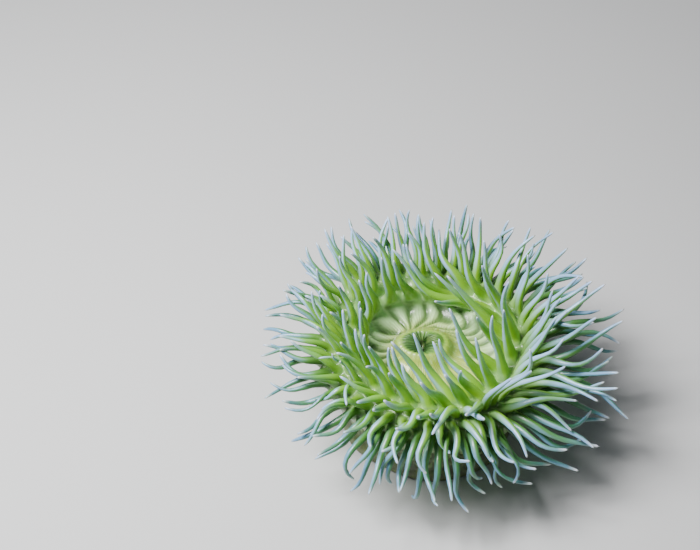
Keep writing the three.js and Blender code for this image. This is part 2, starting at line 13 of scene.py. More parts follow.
import bpy
import numpy as np
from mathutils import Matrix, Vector

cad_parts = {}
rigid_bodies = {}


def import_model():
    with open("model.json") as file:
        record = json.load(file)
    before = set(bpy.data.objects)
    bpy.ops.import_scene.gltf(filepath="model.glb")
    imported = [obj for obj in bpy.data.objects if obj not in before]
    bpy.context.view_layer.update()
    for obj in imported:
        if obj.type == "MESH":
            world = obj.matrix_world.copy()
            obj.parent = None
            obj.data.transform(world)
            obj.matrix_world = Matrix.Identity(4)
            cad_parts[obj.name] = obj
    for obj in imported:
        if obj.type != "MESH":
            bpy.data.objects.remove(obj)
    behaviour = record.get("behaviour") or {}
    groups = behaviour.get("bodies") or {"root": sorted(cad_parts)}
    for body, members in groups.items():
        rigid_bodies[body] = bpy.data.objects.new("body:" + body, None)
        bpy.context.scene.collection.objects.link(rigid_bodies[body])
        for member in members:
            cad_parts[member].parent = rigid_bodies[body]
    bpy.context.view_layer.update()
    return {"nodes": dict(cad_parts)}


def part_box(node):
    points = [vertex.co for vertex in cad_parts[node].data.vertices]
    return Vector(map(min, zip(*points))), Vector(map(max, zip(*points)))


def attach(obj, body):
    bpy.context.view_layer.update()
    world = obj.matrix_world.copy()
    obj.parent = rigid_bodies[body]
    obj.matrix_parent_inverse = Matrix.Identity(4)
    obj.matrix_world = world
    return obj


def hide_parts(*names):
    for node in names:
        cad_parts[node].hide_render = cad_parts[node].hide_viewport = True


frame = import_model()
MM = 0.001
print("nodes in the frame:", len(frame["nodes"]))

# %% [markdown]
# ## Where the sizes come from
#
# What no box can tell, such as how the rim waves, follows the same rules as the solids do.

# %% Measure the body
FOOT_RADIUS = 51.0
WAIST_RADIUS = 44.0


def measured(node):
    return [np.array(corner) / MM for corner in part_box(node)]


_, foot_high = measured("pedal_disc")
lower_low, lower_high = measured("column_lower")
upper_low, upper_high = measured("column_upper")
lips_low, lips_high = measured("lips")
FOOT_TOP = (foot_high[2] + lower_low[2]) / 2
COLUMN_PARTING = (lower_high[2] + upper_low[2]) / 2
CREASE = upper_high[2]
MOUTH = (lips_low[:2] + lips_high[:2]) / 2
print("foot top %.1f, crease %.1f, mouth at" % (FOOT_TOP, CREASE), MOUTH.round(1))

# %% [markdown]
# ## The rolled rim
#
# The tentacles stand on a roll of flesh, like the sausage round a straw hat. A place on the roll is an
# azimuth, in degrees round the animal, and a roll angle, from 0 at the outside over 90 at the crest to 180
# at the disc. Living rims aren't turned on a lathe: this one swells and lifts in slow waves, each given as
# how many there are, how high they are and where one has its crest. Both angles wander by a degree or two,
# and places lie a little closer together round azimuth 270 than on the far side.

# %% Places on the rim
RIM_RADIUS = 50.5
RIM_HEIGHT = 50.0
RIM_ROLL = 13.0
RIM_SWELL = ((3, 1.6, 30), (5, 0.6, 58))
RIM_LIFT = ((1, 1.5, 120), (3, 1.4, 20), (4, 1.0, 3))
TURN_WANDER, TURN_WAVES, TURN_PHASE = 1.1, 3, 40
ROLL_WANDER, ROLL_WAVES = 2.5, 4
CLOSER_AT_270 = 7
CREST_ROLL = 90.0
UP = np.array((0.0, 0.0, 1.0))


def waves(azimuth, lobes):
    return sum(height * np.cos(np.radians(count * (azimuth - crest))) for count, height, crest in lobes)


def outward(azimuth):
    angle = np.radians(azimuth)
    return np.stack((np.cos(angle), np.sin(angle), 0 * angle), axis=-1)


def wander(azimuth, roll):
    turned = azimuth + TURN_WANDER * np.sin(np.radians(TURN_WAVES * azimuth + TURN_PHASE))
    turned = turned - CLOSER_AT_270 * np.cos(np.radians(azimuth))
    return turned, roll + ROLL_WANDER * np.sin(np.radians(ROLL_WAVES * azimuth + roll))


def rim_normal(azimuth, roll):
    azimuth, roll = wander(azimuth, roll)
    angle = np.radians(roll)[..., None]
    return outward(azimuth) * np.cos(angle) + UP * np.sin(angle)


def rim_point(azimuth, roll, radius=RIM_ROLL):
    turned, _ = wander(azimuth, roll)
    middle = outward(turned) * (RIM_RADIUS + waves(turned, RIM_SWELL))[..., None]
    middle += UP * (RIM_HEIGHT + waves(turned, RIM_LIFT))[..., None]
    return middle + radius * rim_normal(azimuth, roll)


crest_line = rim_point(np.arange(360.0), np.full(360, CREST_ROLL))
print("highest point of the rim: %.1f" % crest_line[:, 2].max())

# %% [markdown]
# ## The crown's pose
#
# Nobody places 240 tentacles by hand. Each row has a rule for where its tentacles end up pointing: the
# inner ones stand and lie over the disc with the slow current, and the further out a row is, the more it
# spreads and hangs.
#
# A row says how many tentacles it has and by what share of a step it is turned, then the roll angles where
# its fields start and stop, then a tentacle's length, its radius at the root, and how early it thins. Rise
# and out say how far its way goes up and outwards. The rest say how much the row follows each table: sag
# the drooping front, inner the tables for the tentacles round the disc, hang the hanging fringe, and crowd
# the crowded front. Loose is how freely chance turns it.

# %% The six rows
ROW_VALUES = (
    "count", "shift", "start", "stop", "length", "root", "taper",
    "rise", "out", "sag", "inner", "hang", "crowd", "loose",
)
ROWS = [
    dict(zip(ROW_VALUES, values))
    for values in (
        (24, 0.0, 163, 129, 48, 4.0, 1.2, 1.0, 0.0, 0.0, 1.0, 0.0, 0.0, 0.8),
        (24, 0.5, 129, 97, 45, 3.6, 1.25, 0.95, 0.42, 0.25, 0.6, 0.0, 0.4, 1.1),
        (48, 0.5, 97, 72, 42, 2.7, 1.2, 0.8, 0.65, 0.45, 0.15, 0.2, 1.0, 1.5),
        (48, 0.0, 72, 47, 42, 2.65, 1.1, 0.5, 0.9, 0.8, 0.0, 0.8, 0.5, 1.4),
        (48, 0.5, 47, 22, 44, 2.6, 0.95, 0.25, 1.0, 1.05, 0.0, 0.85, 0.0, 1.1),
        (48, 0.0, 22, -3, 43, 2.55, 0.9, -0.05, 1.0, 1.2, 0.0, 1.0, 0.0, 1.0),
    )
]


def row_rolls(row):
    return row["start"], (row["start"] + row["stop"]) / 2, row["stop"]


print("tentacles in each row, from the disc outwards:", [row["count"] for row in ROWS])

# %% [markdown]
# A few tables say how the rules change round the animal. Each is a list of an azimuth and the value there,
# and between two of them the value eases from one to the next.

# %% Tables round the animal
LEAN = (
    (0, -0.28), (45, -0.25), (90, 0.2), (135, 0.12), (180, 0.1), (218, 0.12), (250, -0.15), (270, -0.3),
    (315, -0.3),
)
DRIFT = (
    (0, 0.5), (30, 0.9), (62, 1.8), (88, 0.9), (120, 0.35), (180, 0.2), (225, 0.85), (270, 1.3), (315, 0.95),
)
RISE = ((0, 1), (30, 0.9), (62, 0.5), (95, 0.95), (180, 1))
SPREAD = (
    (0, 1), (45, 0.9), (90, 0.72), (135, 0.95), (180, 1), (222, 0.8), (250, 0.3), (285, 0.22), (308, 0.7),
    (330, 1.05),
)
REACH = (
    (0, 1.16), (45, 0.97), (90, 0.86), (135, 0.86), (180, 0.83), (225, 0.88), (270, 0.89), (315, 1.1),
    (340, 1.18),
)
INNER_REACH = (
    (0, -0.2), (25, 0), (60, 0.26), (100, 0), (180, -0.14), (222, -0.2), (250, -0.06), (285, 0), (318, -0.18),
)
SWING = (
    (0, 5), (45, -28), (90, 5), (135, 5), (180, -8), (225, 0), (258, -10), (285, 16), (315, 34), (340, 15),
)
SAG = ((0, 0.3), (45, 0.1), (90, -0.1), (135, 0), (180, 0.35), (225, 0.75), (270, 1), (315, 0.7))
CROWD = ((0, 0), (215, 0), (240, 1), (290, 1), (315, 0))

# %% Read the value at an azimuth
def ease(t):
    return t * t * (3 - 2 * t)


def round_ring(table, azimuth):
    places = np.array([place for place, _ in table] + [table[0][0] + 360.0])
    values = np.array([value for _, value in table] + [table[0][1]], dtype=float)
    turned = (azimuth - places[0]) % 360 + places[0]
    before = np.clip(np.searchsorted(places, turned, side="right") - 1, 0, len(places) - 2)
    share = ease((turned - places[before]) / (places[before + 1] - places[before]))
    return values[before] * (1 - share) + values[before + 1] * share


print("half way from azimuth 315 to 0 the sag is %.2f" % round_ring(SAG, np.array([337.5]))[0])

# %% [markdown]
# No two tentacles are alike. Each gets numbers from 0 to 1 of its own, one for every use, such as its
# length or its curl. They come from a steep sine, so they look like chance and yet are the same on every
# run.

# %% Chance that stays the same
USES = dict(
    length=3, swing=4, pitch=5, side=6, phase=7, height=8, plane=9, girth=10, turns=11, curl=12,
    wart=20, tint=21, across_wall=22, along_wall=23, fold=31,
)
IDENT_STEP, USE_STEP, SINE_START, SINE_STRETCH = 12.9898, 78.233, 1.234, 43758.5453


def chance(ident, use):
    x = np.sin(ident * IDENT_STEP + USES[use] * USE_STEP + SINE_START) * SINE_STRETCH
    return x - np.floor(x)


def scatter(ident, use):
    return chance(ident, use) - 0.5


def unit(vectors):
    return vectors / np.linalg.norm(vectors, axis=-1, keepdims=True)


print("the first tentacles' curls:", chance(np.arange(4), "curl").round(2))

# %% [markdown]
# ## One tentacle
#
# A tentacle could be drawn as a curve by hand, but not 240 times, and a soft-body simulation is slow and
# hard to steer. So each middle line grows by a rule. It starts square to the rim and bends, within its
# first two thirds, to the way that its row's rule says. It sways about that way, more so towards its tip,
# and its outer half curls up. The inner ones also swing with the current and back. A line is grown in
# fourteen short steps, all tentacles of a row at once.

# %% Where the tentacles end up pointing
CURRENT = np.array((-1.0, 0.12, 0.0))
SLIGHT_DRIFT = 0.04
SWING_SCATTER = 60
PITCH_SCATTER = 0.7
HANG_TOGETHER = 0.75
CROWD_LOWER = 0.4
SWINGING_ROW = 4


def end_ways(row, ident, azimuth):
    spread = 1 - row["hang"] * (1 - round_ring(SPREAD, azimuth))
    rise = row["rise"] * (1 - row["inner"] + row["inner"] * round_ring(RISE, azimuth))
    rise = rise - round_ring(SAG, azimuth) * row["sag"]
    rise = rise - CROWD_LOWER * row["crowd"] * round_ring(CROWD, azimuth)
    out = row["out"] * spread + row["inner"] * round_ring(LEAN, azimuth)
    drift = row["inner"] * round_ring(DRIFT, azimuth) + SLIGHT_DRIFT
    end = unit(rise[:, None] * UP + out[:, None] * outward(azimuth) + drift[:, None] * CURRENT)
    loose = row["loose"] * (1 - HANG_TOGETHER * (1 - spread))
    swing = round_ring(SWING, azimuth) * min(1, ROWS.index(row) / SWINGING_ROW)
    turn = np.radians(swing + SWING_SCATTER * scatter(ident, "swing") * loose)
    x = end[:, 0] * np.cos(turn) - end[:, 1] * np.sin(turn)
    y = end[:, 0] * np.sin(turn) + end[:, 1] * np.cos(turn)
    return unit(np.stack((x, y, end[:, 2] + PITCH_SCATTER * scatter(ident, "pitch") * loose), axis=-1))


# %% Where they start, and the ways they sway
ROOT_UPRIGHT = 0.8
SIDE_SCATTER = 0.3


def start_ways(row, ident, azimuth, roll):
    across = outward(azimuth + 90)
    start = rim_normal(azimuth, roll) + ROOT_UPRIGHT * row["inner"] * UP
    return unit(start + SIDE_SCATTER * scatter(ident, "side")[:, None] * across)


def sway_ways(ident, start, end):
    side = unit(np.cross(start, end))
    lift = np.cross(end, side)
    turn = 2 * math.pi * chance(ident, "plane")[:, None]
    return side * np.cos(turn) + lift * np.sin(turn)


# %% How long and thick they are
STEPS = 14
TIP_RADIUS = 0.66
LENGTH_SCATTER = 0.34
GIRTH_SCATTER = 0.12
SHORTER, THICKER, BLUNTER = 0.2, 0.18, 0.35


def crowding(row, azimuth):
    return row["crowd"] * round_ring(CROWD, azimuth)


def row_sizes(row, ident, azimuth):
    crowd = crowding(row, azimuth)
    reach = round_ring(REACH, azimuth) + row["inner"] * round_ring(INNER_REACH, azimuth)
    length = row["length"] * (1 + LENGTH_SCATTER * scatter(ident, "length")) * reach * (1 - SHORTER * crowd)
    girth = (1 + GIRTH_SCATTER * scatter(ident, "girth")) * (1 + THICKER * crowd)
    girth = girth * np.sqrt(np.minimum(1, reach))
    taper = row["taper"] * (1 - BLUNTER * crowd)[:, None]
    thinning = (1 - np.arange(STEPS + 1) / STEPS) ** taper
    return length, TIP_RADIUS + (row["root"] * girth - TIP_RADIUS)[:, None] * thinning


# %% Grow a row of middle lines
ROOT_DEPTH = 1
BENT_BY = 1.6
SWAY_LEAST, SWAY_MORE, SWAY_INNER = 0.65, 0.9, 0.35
SWAY_ROOT, SWAY_GROWTH = 0.15, 1.1
TURNS_LEAST, TURNS_MORE = 0.9, 0.6
CURL_LEAST, CURL_MORE, CURL_INNER, CURL_CROWD = 0.2, 0.8, 0.4, 0.7
SWIRL = 0.4


def row_lines(row, ident, azimuth, roll, length):
    start = start_ways(row, ident, azimuth, roll)
    end = end_ways(row, ident, azimuth)
    sway = sway_ways(ident, start, end)
    height = (SWAY_LEAST + SWAY_MORE * chance(ident, "height")) * (1 - SWAY_INNER * row["inner"])
    turns = TURNS_LEAST + TURNS_MORE * chance(ident, "turns")
    drift = row["inner"] * round_ring(DRIFT, azimuth)
    curl = CURL_LEAST + CURL_MORE * chance(ident, "curl") + CURL_INNER * row["inner"]
    curl = curl + CURL_CROWD * crowding(row, azimuth)
    points = [rim_point(azimuth, roll, RIM_ROLL - ROOT_DEPTH)]
    for step in range(STEPS):
        t = (step + 0.5) / STEPS
        bent = ease(min(1, t * BENT_BY))
        wave = np.sin(2 * math.pi * (turns * t + chance(ident, "phase")))
        wave = height * wave * (SWAY_ROOT + SWAY_GROWTH * t)
        swirl = SWIRL * drift * math.sin(2 * math.pi * t)
        way = start * (1 - bent) + end * bent + sway * wave[:, None] + CURRENT * swirl[:, None]
        way = unit(way + UP * (curl * max(0, 2 * t - 1))[:, None])
        points.append(points[-1] + way * (length / STEPS)[:, None])
    return np.stack(points, axis=1)


# %% Grow all six rows
def grow_row(row, first):
    place = np.arange(row["count"])
    ident = first + place
    azimuth = (place + row["shift"]) * 360 / row["count"]
    roll = np.full(row["count"], row_rolls(row)[1])
    length, radii = row_sizes(row, ident, azimuth)
    lines = row_lines(row, ident, azimuth, roll, length)
    return dict(lines=lines, radii=radii, lengths=length, azimuths=azimuth, rolls=roll)


row_of = np.repeat(np.arange(len(ROWS)), [row["count"] for row in ROWS])
grown = [grow_row(row, np.argmax(row_of == index)) for index, row in enumerate(ROWS)]
lines, radii, lengths, azimuths, rolls = (
    np.concatenate([row[key] for row in grown]) for key in ("lines", "radii", "lengths", "azimuths", "rolls")
)
print("tentacles:", len(lines), "from %.0f to %.0f mm long" % (lengths.min(), lengths.max()))

# %% [markdown]
# ## Make room
#
# Grown on their own, the tentacles run through each other. Real ones push. Each round finds points of two
# tentacles that are nearer than their radii and a little water between them, moves both aside, evens the
# lines, keeps them off the floor and gives every length back. The root doesn't yield at all and the tip
# yields freely.

# %% Push the tentacles apart
CLEARANCE = 0.7
CLOSE = 11.0
PUSH = 0.4


def close_pairs(points, owners):
    squares = (points**2).sum(axis=1)
    apart = squares[:, None] + squares[None] - 2 * points @ points.T
    near = np.triu(apart < CLOSE**2, 1) & (owners[:, None] != owners[None])
    return np.nonzero(near)


def pushes(points, thick, a, b):
    apart = points[a] - points[b]
    distance = np.linalg.norm(apart, axis=1)
    wanted = np.maximum(thick[a] + thick[b] + CLEARANCE - distance, 0)
    step = apart * (PUSH * wanted / distance)[:, None]
    return np.stack([np.bincount(a, s, len(points)) - np.bincount(b, s, len(points)) for s in step.T], axis=1)


# %% Settle the crown
FLOOR_CLEARANCE = 3.5
SETTLING_ROUNDS = 48
ROUNDS_TO_A_LOOK = 8
YIELD_POWER = 0.7
EVENED = 0.12


def settle(lines, radii, lengths):
    count = STEPS + 1
    owners = np.repeat(np.arange(len(lines)), count)
    yields = np.tile((np.arange(count) / STEPS) ** YIELD_POWER, len(lines))[:, None]
    for turn in range(SETTLING_ROUNDS):
        points = lines.reshape(-1, 3)
        if turn % ROUNDS_TO_A_LOOK == 0:
            a, b = close_pairs(points, owners)
        pushed = (points + pushes(points, radii.reshape(-1), a, b) * yields).reshape(-1, count, 3)
        lines = pushed.copy()
        lines[:, 1:-1] += EVENED * ((pushed[:, :-2] + pushed[:, 2:]) / 2 - pushed[:, 1:-1])
        lines[..., 2] = np.maximum(lines[..., 2], FLOOR_CLEARANCE + radii)
        for step in range(1, count):
            way = unit(lines[:, step] - lines[:, step - 1])
            lines[:, step] = lines[:, step - 1] + way * (lengths / STEPS)[:, None]
    return lines


lines = settle(lines, radii, lengths)
print("crown after settling: %.0f by %.0f mm, %.0f high" % tuple(np.ptp(lines.reshape(-1, 3), axis=0)))

# %% [markdown]
# ## One sleeve for the whole skin
#
# The body is a tube that turns inside out: up the column, round the rim, across the disc and down the
# throat. It could be joined from separate shapes and remeshed, but a remesh eats thin tips and forgets
# which face is which. So the skin starts as a plain sleeve of 96 columns, extruded ring by ring from one
# circle, and then each ring goes to its station on the animal. A station is a function that gives the
# places round one ring. 96 columns suit the tentacles: one of the outer rows stands on 2 columns, and one
# of the two inner rows on 4.
#
# Rings inside the rim are centred on the mouth, which lies a little off the animal's middle. The shift
# fades out towards the rim. An outline is a list of pairs, how far out and how high, and the foot's and the
# collar's pairs are counted from a size that is already named.

# %% Kinds of ring
COLUMNS = 96
COLUMN = 360 / COLUMNS
MOUTH_SHIFT_ENDS = 34
LIP_FOOT = 14.5


def level_ring(radius, height, lobes=()):
    def places(azimuth):
        radii = np.full(len(azimuth), radius) + waves(azimuth, lobes)
        return outward(azimuth) * radii[:, None] + UP * height

    return places


def rim_ring(roll, radius=RIM_ROLL):
    return lambda azimuth: rim_point(azimuth, np.full(len(azimuth), float(roll)), radius)


def mouth_share(radius):
    share = ease(np.maximum(0, 1 - radius / MOUTH_SHIFT_ENDS))
    return np.minimum(1, share / ease(1 - LIP_FOOT / MOUTH_SHIFT_ENDS))


def mouth_ring(radius, height):
    return lambda azimuth: outward(azimuth) * radius + UP * height + np.append(MOUTH, 0) * mouth_share(radius)


# %% Outlines of the foot, the column and the collar
FOOT_LOBES = ((4, 0.9, 20), (7, 0.5, 5))
FOOT_INSETS = ((11, 0), (1.7, 0), (0.3, 1.2), (0.6, 3.8), (2.5, FOOT_TOP))
COLUMN_OUTLINE = (
    (FOOT_TOP, FOOT_RADIUS - 2.5),
    (FOOT_TOP + 8, WAIST_RADIUS + 1.3),
    (COLUMN_PARTING, WAIST_RADIUS),
    (COLUMN_PARTING + 7, WAIST_RADIUS + 0.6),
    (CREASE, WAIST_RADIUS + 2.4),
)
COLUMN_RINGS = 10
FIRST_COLUMN_STEP = 2.6
SHELF = ((4.0, 1.4), (6.2, 2.3))
UNDER_RIM = ((-66, 1.8), (-50, 1.0), (-34, 0.4), (-18, 0.1))

column_curve = np.polynomial.Polynomial.fit(*zip(*COLUMN_OUTLINE), len(COLUMN_OUTLINE) - 1)
column_heights = np.linspace(FOOT_TOP + FIRST_COLUMN_STEP, CREASE, COLUMN_RINGS)
foot = [level_ring(FOOT_RADIUS - inset, height, FOOT_LOBES) for inset, height in FOOT_INSETS]
column = [level_ring(column_curve(height), height) for height in column_heights]
collar = [level_ring(WAIST_RADIUS + wider, CREASE + higher) for wider, higher in SHELF]
collar += [rim_ring(roll, RIM_ROLL - inset) for roll, inset in UNDER_RIM]
print("waist of the column: %.1f" % column_curve(column_heights).min())

# %% Outlines of the rim, the disc and the mouth
DISC_PROFILE = (
    (35.2, 52.0), (32.2, 50.8), (29.2, 50.1), (26, 49.7), (23, 49.6), (20, 49.8), (17.4, 50.3), (15.2, 51.3),
)
LIP_PROFILE = ((13.4, 52.5), (12.2, 54.1), (10.9, 55.7), (9.7, 56.9), (8.6, 57.1), (7.6, 56.4), (6.5, 55.3))
THROAT_PROFILE = ((5.3, 53.8), (4.0, 52.2), (2.6, 50.4))

fields = [rim_ring(roll) for roll in sorted({roll for row in ROWS for roll in row_rolls(row)})]
disc = [mouth_ring(radius, height) for radius, height in DISC_PROFILE]
lips = [mouth_ring(radius, height) for radius, height in LIP_PROFILE]
throat = [mouth_ring(radius, height) for radius, height in THROAT_PROFILE]
stations = foot + column + collar + fields + disc + lips + throat

FIRST_FIELD = len(foot + column + collar)
FIRST_DISC = FIRST_FIELD + len(fields)
FIRST_LIP = FIRST_DISC + len(disc)
LAST_RING = len(stations) - 1
print("stations:", len(stations), "fields from ring", FIRST_FIELD, "to", FIRST_DISC - 1)


# %% Help with edit mode
def edit(thing):
    bpy.ops.object.select_all(action="DESELECT")
    thing.select_set(True)
    bpy.context.view_layer.objects.active = thing
    bpy.ops.object.mode_set(mode="EDIT")
    bpy.ops.mesh.select_all(action="DESELECT")


def done():
    bpy.ops.object.mode_set(mode="OBJECT")


# %% Select corners and faces in code
def select_corners(thing, chosen):
    done()
    mesh = thing.data
    mesh.polygons.foreach_set("select", np.zeros(len(mesh.polygons), dtype=bool))
    mesh.edges.foreach_set("select", np.zeros(len(mesh.edges), dtype=bool))
    mesh.vertices.foreach_set("select", chosen)
    bpy.ops.object.mode_set(mode="EDIT")
    bpy.ops.mesh.select_mode(type="VERT")


def select_faces(thing, faces):
    done()
    mesh = thing.data
    chosen = np.zeros(len(mesh.polygons), dtype=bool)
    chosen[faces] = True
    mesh.vertices.foreach_set("select", np.zeros(len(mesh.vertices), dtype=bool))
    mesh.edges.foreach_set("select", np.zeros(len(mesh.edges), dtype=bool))
    mesh.polygons.foreach_set("select", chosen)
    bpy.context.tool_settings.mesh_select_mode = (False, False, True)
    bpy.ops.object.mode_set(mode="EDIT")


def face_outwards(thing):
    done()
    edit(thing)
    bpy.ops.mesh.select_all(action="SELECT")
    bpy.ops.mesh.normals_make_consistent(inside=False)
    done()


# %% Extrude the sleeve
bpy.ops.object.select_all(action="DESELECT")
bpy.ops.mesh.primitive_circle_add(vertices=COLUMNS, radius=1, fill_type="NOTHING", calc_uvs=False)
skin = bpy.context.object
skin.name = "anemone_skin"
edit(skin)
bpy.ops.mesh.select_all(action="SELECT")
for _ in stations[1:]:
    bpy.ops.mesh.extrude_region_move(TRANSFORM_OT_translate={"value": (0, 0, 1)})
done()
print("sleeve:", len(skin.data.vertices), "corners,", len(skin.data.polygons), "faces")

# %% [markdown]
# The sleeve is still straight, a metre from ring to ring, so each corner's ring and column can be read from
# its place. Numpy reads and writes all the corners at once, which is far quicker than a loop over them.


# %% Number the rings and columns
def read_places(mesh):
    flat = np.empty(3 * len(mesh.vertices))
    mesh.vertices.foreach_get("co", flat)
    return flat.reshape(-1, 3)


def write_places(mesh, places):
    mesh.vertices.foreach_set("co", np.ascontiguousarray(places).ravel())
    mesh.update()


straight = read_places(skin.data)
ring_of = np.rint(straight[:, 2]).astype(int)
azimuth_of = np.degrees(np.arctan2(straight[:, 1], straight[:, 0])) % 360
column_of = np.rint(azimuth_of / COLUMN).astype(int) % COLUMNS
print("rings:", ring_of.max() + 1, "columns:", column_of.max() + 1)

# %% [markdown]
# ## A map for the baked colours
#
# When the model leaves Blender its colours are baked to an image, so the skin needs a flat map with no
# overlaps. An automatic unwrap of such a shape gives hundreds of scraps. Now, while it is a sleeve, the map
# is simple: the body is a rectangle, once round by once along. The tentacles get the rest of the image
# later, in a little strip each.

# %% Lay out the body's map
BODY_WIDTH = 0.9
BODY_HEIGHT = 0.38
MARGIN = 0.003
FAR_SIDE = np.array([90.0])
far_line = np.array([station(FAR_SIDE)[0] for station in stations])
walked = np.append(0, np.cumsum(np.linalg.norm(np.diff(far_line, axis=0), axis=1)))
along_body = MARGIN + walked / walked[-1] * (BODY_HEIGHT - 2 * MARGIN)

loop_corner = np.empty(len(skin.data.loops), dtype=int)
skin.data.loops.foreach_get("vertex_index", loop_corner)
loop_column = column_of[loop_corner].reshape(-1, 4)
past_seam = (np.ptp(loop_column, axis=1) > COLUMNS / 2)[:, None] & (loop_column < COLUMNS / 2)
loop_column = np.where(past_seam, loop_column + COLUMNS, loop_column).ravel()
round_body = MARGIN + loop_column / COLUMNS * (BODY_WIDTH - 2 * MARGIN)
body_map = np.stack((round_body, along_body[ring_of[loop_corner]]), axis=1)
skin.data.uv_layers.new(name="OFBake")
skin.data.uv_layers["OFBake"].data.foreach_set("uv", body_map.ravel())
print("body's walk from sole to throat: %.0f mm" % walked[-1])

# %% [markdown]
# Every corner carries its ring number with it from now on, and later its tentacle, how far along that it is
# and a few shares from 0 to 1 that the colours need. Blender keeps them as attributes, and blends them when
# it smooths the mesh. The corners of the column stray a little from their places, so that its warts do too.

# %% Send every ring to its station
STRAY = 1.9
for name in ("ring", "raised", "along", "outer", "tint", "groove", "crest"):
    skin.data.attributes.new(name, "FLOAT", "POINT")
for name in ("tentacle", "slot"):
    skin.data.attributes.new(name, "INT", "POINT")
skin.data.attributes["ring"].data.foreach_set("value", ring_of.astype(float))
skin.data.attributes["tentacle"].data.foreach_set("value", np.full(len(ring_of), -1))

placed = np.empty_like(straight)
for ring, station in enumerate(stations):
    there = ring_of == ring
    placed[there] = station(column_of[there] * COLUMN)
on_wall = (ring_of >= len(foot)) & (ring_of < len(foot + column))
corner_number = ring_of * COLUMNS + column_of
across_wall = outward(azimuth_of + 90) * scatter(corner_number, "across_wall")[:, None]
along_wall = UP * scatter(corner_number, "along_wall")[:, None]
placed[on_wall] += STRAY * (across_wall + along_wall)[on_wall]
write_places(skin.data, placed * MM)
print("corners that stray:", on_wall.sum())

# %% Close the sole and the throat
for end in (0, LAST_RING):
    select_corners(skin, ring_of == end)
    bpy.ops.mesh.edge_face_add()
face_outwards(skin)
print("closed skin:", len(skin.data.polygons), "faces")

# %% [markdown]
# ## Warts on the column, beads under the tentacles
#
# The column of this animal is thick with little sticky warts in rows, and a ring of larger pale beads hangs
# just under the outermost tentacles. A bump in the material would do for a front view, but a wart breaks
# the outline. So each is one face of the sleeve, inset and raised. Every other face is used, like the black
# squares of a chessboard, and chance shares them out in three sizes, each a width to inset by and a height.

# %% Pick faces and raise them
def attribute(mesh, name, kind=float):
    values = np.empty(len(mesh.vertices), dtype=kind)
    mesh.attributes[name].data.foreach_get("value", values)
    return values


def picked_corners(mesh):
    picked = np.zeros(len(mesh.vertices), dtype=bool)
    mesh.vertices.foreach_get("select", picked)
    return picked


def sleeve_faces(mesh):
    whole = [face for face in mesh.polygons if len(face.vertices) == 4 and max(face.vertices) < len(ring_of)]
    corners = np.array([face.vertices[:] for face in whole])
    columns = column_of[corners]
    low_column = np.where(np.ptp(columns, axis=1) > 2, COLUMNS - 1, columns.min(axis=1))
    return np.array([face.index for face in whole]), ring_of[corners].min(axis=1), low_column


def raise_faces(thing, faces, size):
    select_faces(thing, faces)
    bpy.ops.mesh.inset(thickness=size[0] * MM, depth=size[1] * MM, use_individual=True)
    done()
    heights = attribute(thing.data, "raised")
    heights[picked_corners(thing.data)] = 1
    thing.data.attributes["raised"].data.foreach_set("value", heights)
    return len(faces)


# %% Raise the warts and beads
WART_SIZES = ((0.52, 0.7), (0.4, 1.1), (0.3, 1.4))
BEAD_SIZE = (0.6, 1.5)
WART_RINGS = range(len(foot), FIRST_FIELD - len(collar) + 2)
BEAD_RING = FIRST_FIELD - 3

warts = 0
for kind, size in enumerate(WART_SIZES):
    faces, rings, columns = sleeve_faces(skin.data)
    chess = (rings + columns) % 2 == 0
    of_kind = (chance(rings * COLUMNS + columns, "wart") * len(WART_SIZES)).astype(int) == kind
    warts += raise_faces(skin, faces[chess & of_kind & np.isin(rings, WART_RINGS)], size)
faces, rings, columns = sleeve_faces(skin.data)
beads = raise_faces(skin, faces[(rings == BEAD_RING) & (columns % 2 == 0)], BEAD_SIZE)
print("warts:", warts, "beads:", beads)

# %% [markdown]
# ## The fields that the tentacles stand on
#
# Dissolving the corners in the middle of each block of faces leaves one many-sided face, the tentacle's
# field. A field on 2 columns has 8 sides and one on 4 columns has 12. All 240 fields are inset together,
# which leaves a narrow frame of rim flesh between them, and each new face is the foot of a tentacle.

# %% Dissolve and inset the fields
FIELD_SIDES = (8, 12)
FRAME_WIDTH = 0.3
FOOT_RISE = 0.2
middles = np.zeros(len(skin.data.vertices), dtype=bool)
for index, row in enumerate(ROWS):
    middle_ring = FIRST_FIELD + 1 + 2 * (len(ROWS) - 1 - index)
    width = COLUMNS // row["count"]
    offset = (column_of - round(row["shift"] * width)) % width
    inside = np.isin(offset, (0, 1, width - 1)) if width > 2 else offset == 0
    middles[: len(ring_of)] |= (ring_of == middle_ring) & inside
select_corners(skin, middles)
bpy.ops.mesh.dissolve_verts()
bpy.ops.mesh.select_mode(type="FACE")
bpy.ops.mesh.select_all(action="DESELECT")
for number in FIELD_SIDES:
    bpy.ops.mesh.select_face_by_sides(number=number, type="EQUAL", extend=True)
bpy.ops.mesh.inset(thickness=FRAME_WIDTH * MM, depth=FOOT_RISE * MM, use_individual=True)
done()
feet = [face for face in skin.data.polygons if face.select]
foot_faces = np.array([face.index for face in feet])
foot_corners = [np.array(face.vertices[:]) for face in feet]
print("fields:", len(feet), "with", sorted({len(corners) for corners in foot_corners}), "sides")

# %% [markdown]
# Every corner of a foot is told which tentacle it belongs to and its slot in the ring, and extruding hands
# both numbers on to the next ring. The nearest field middle says which tentacle a foot is for.

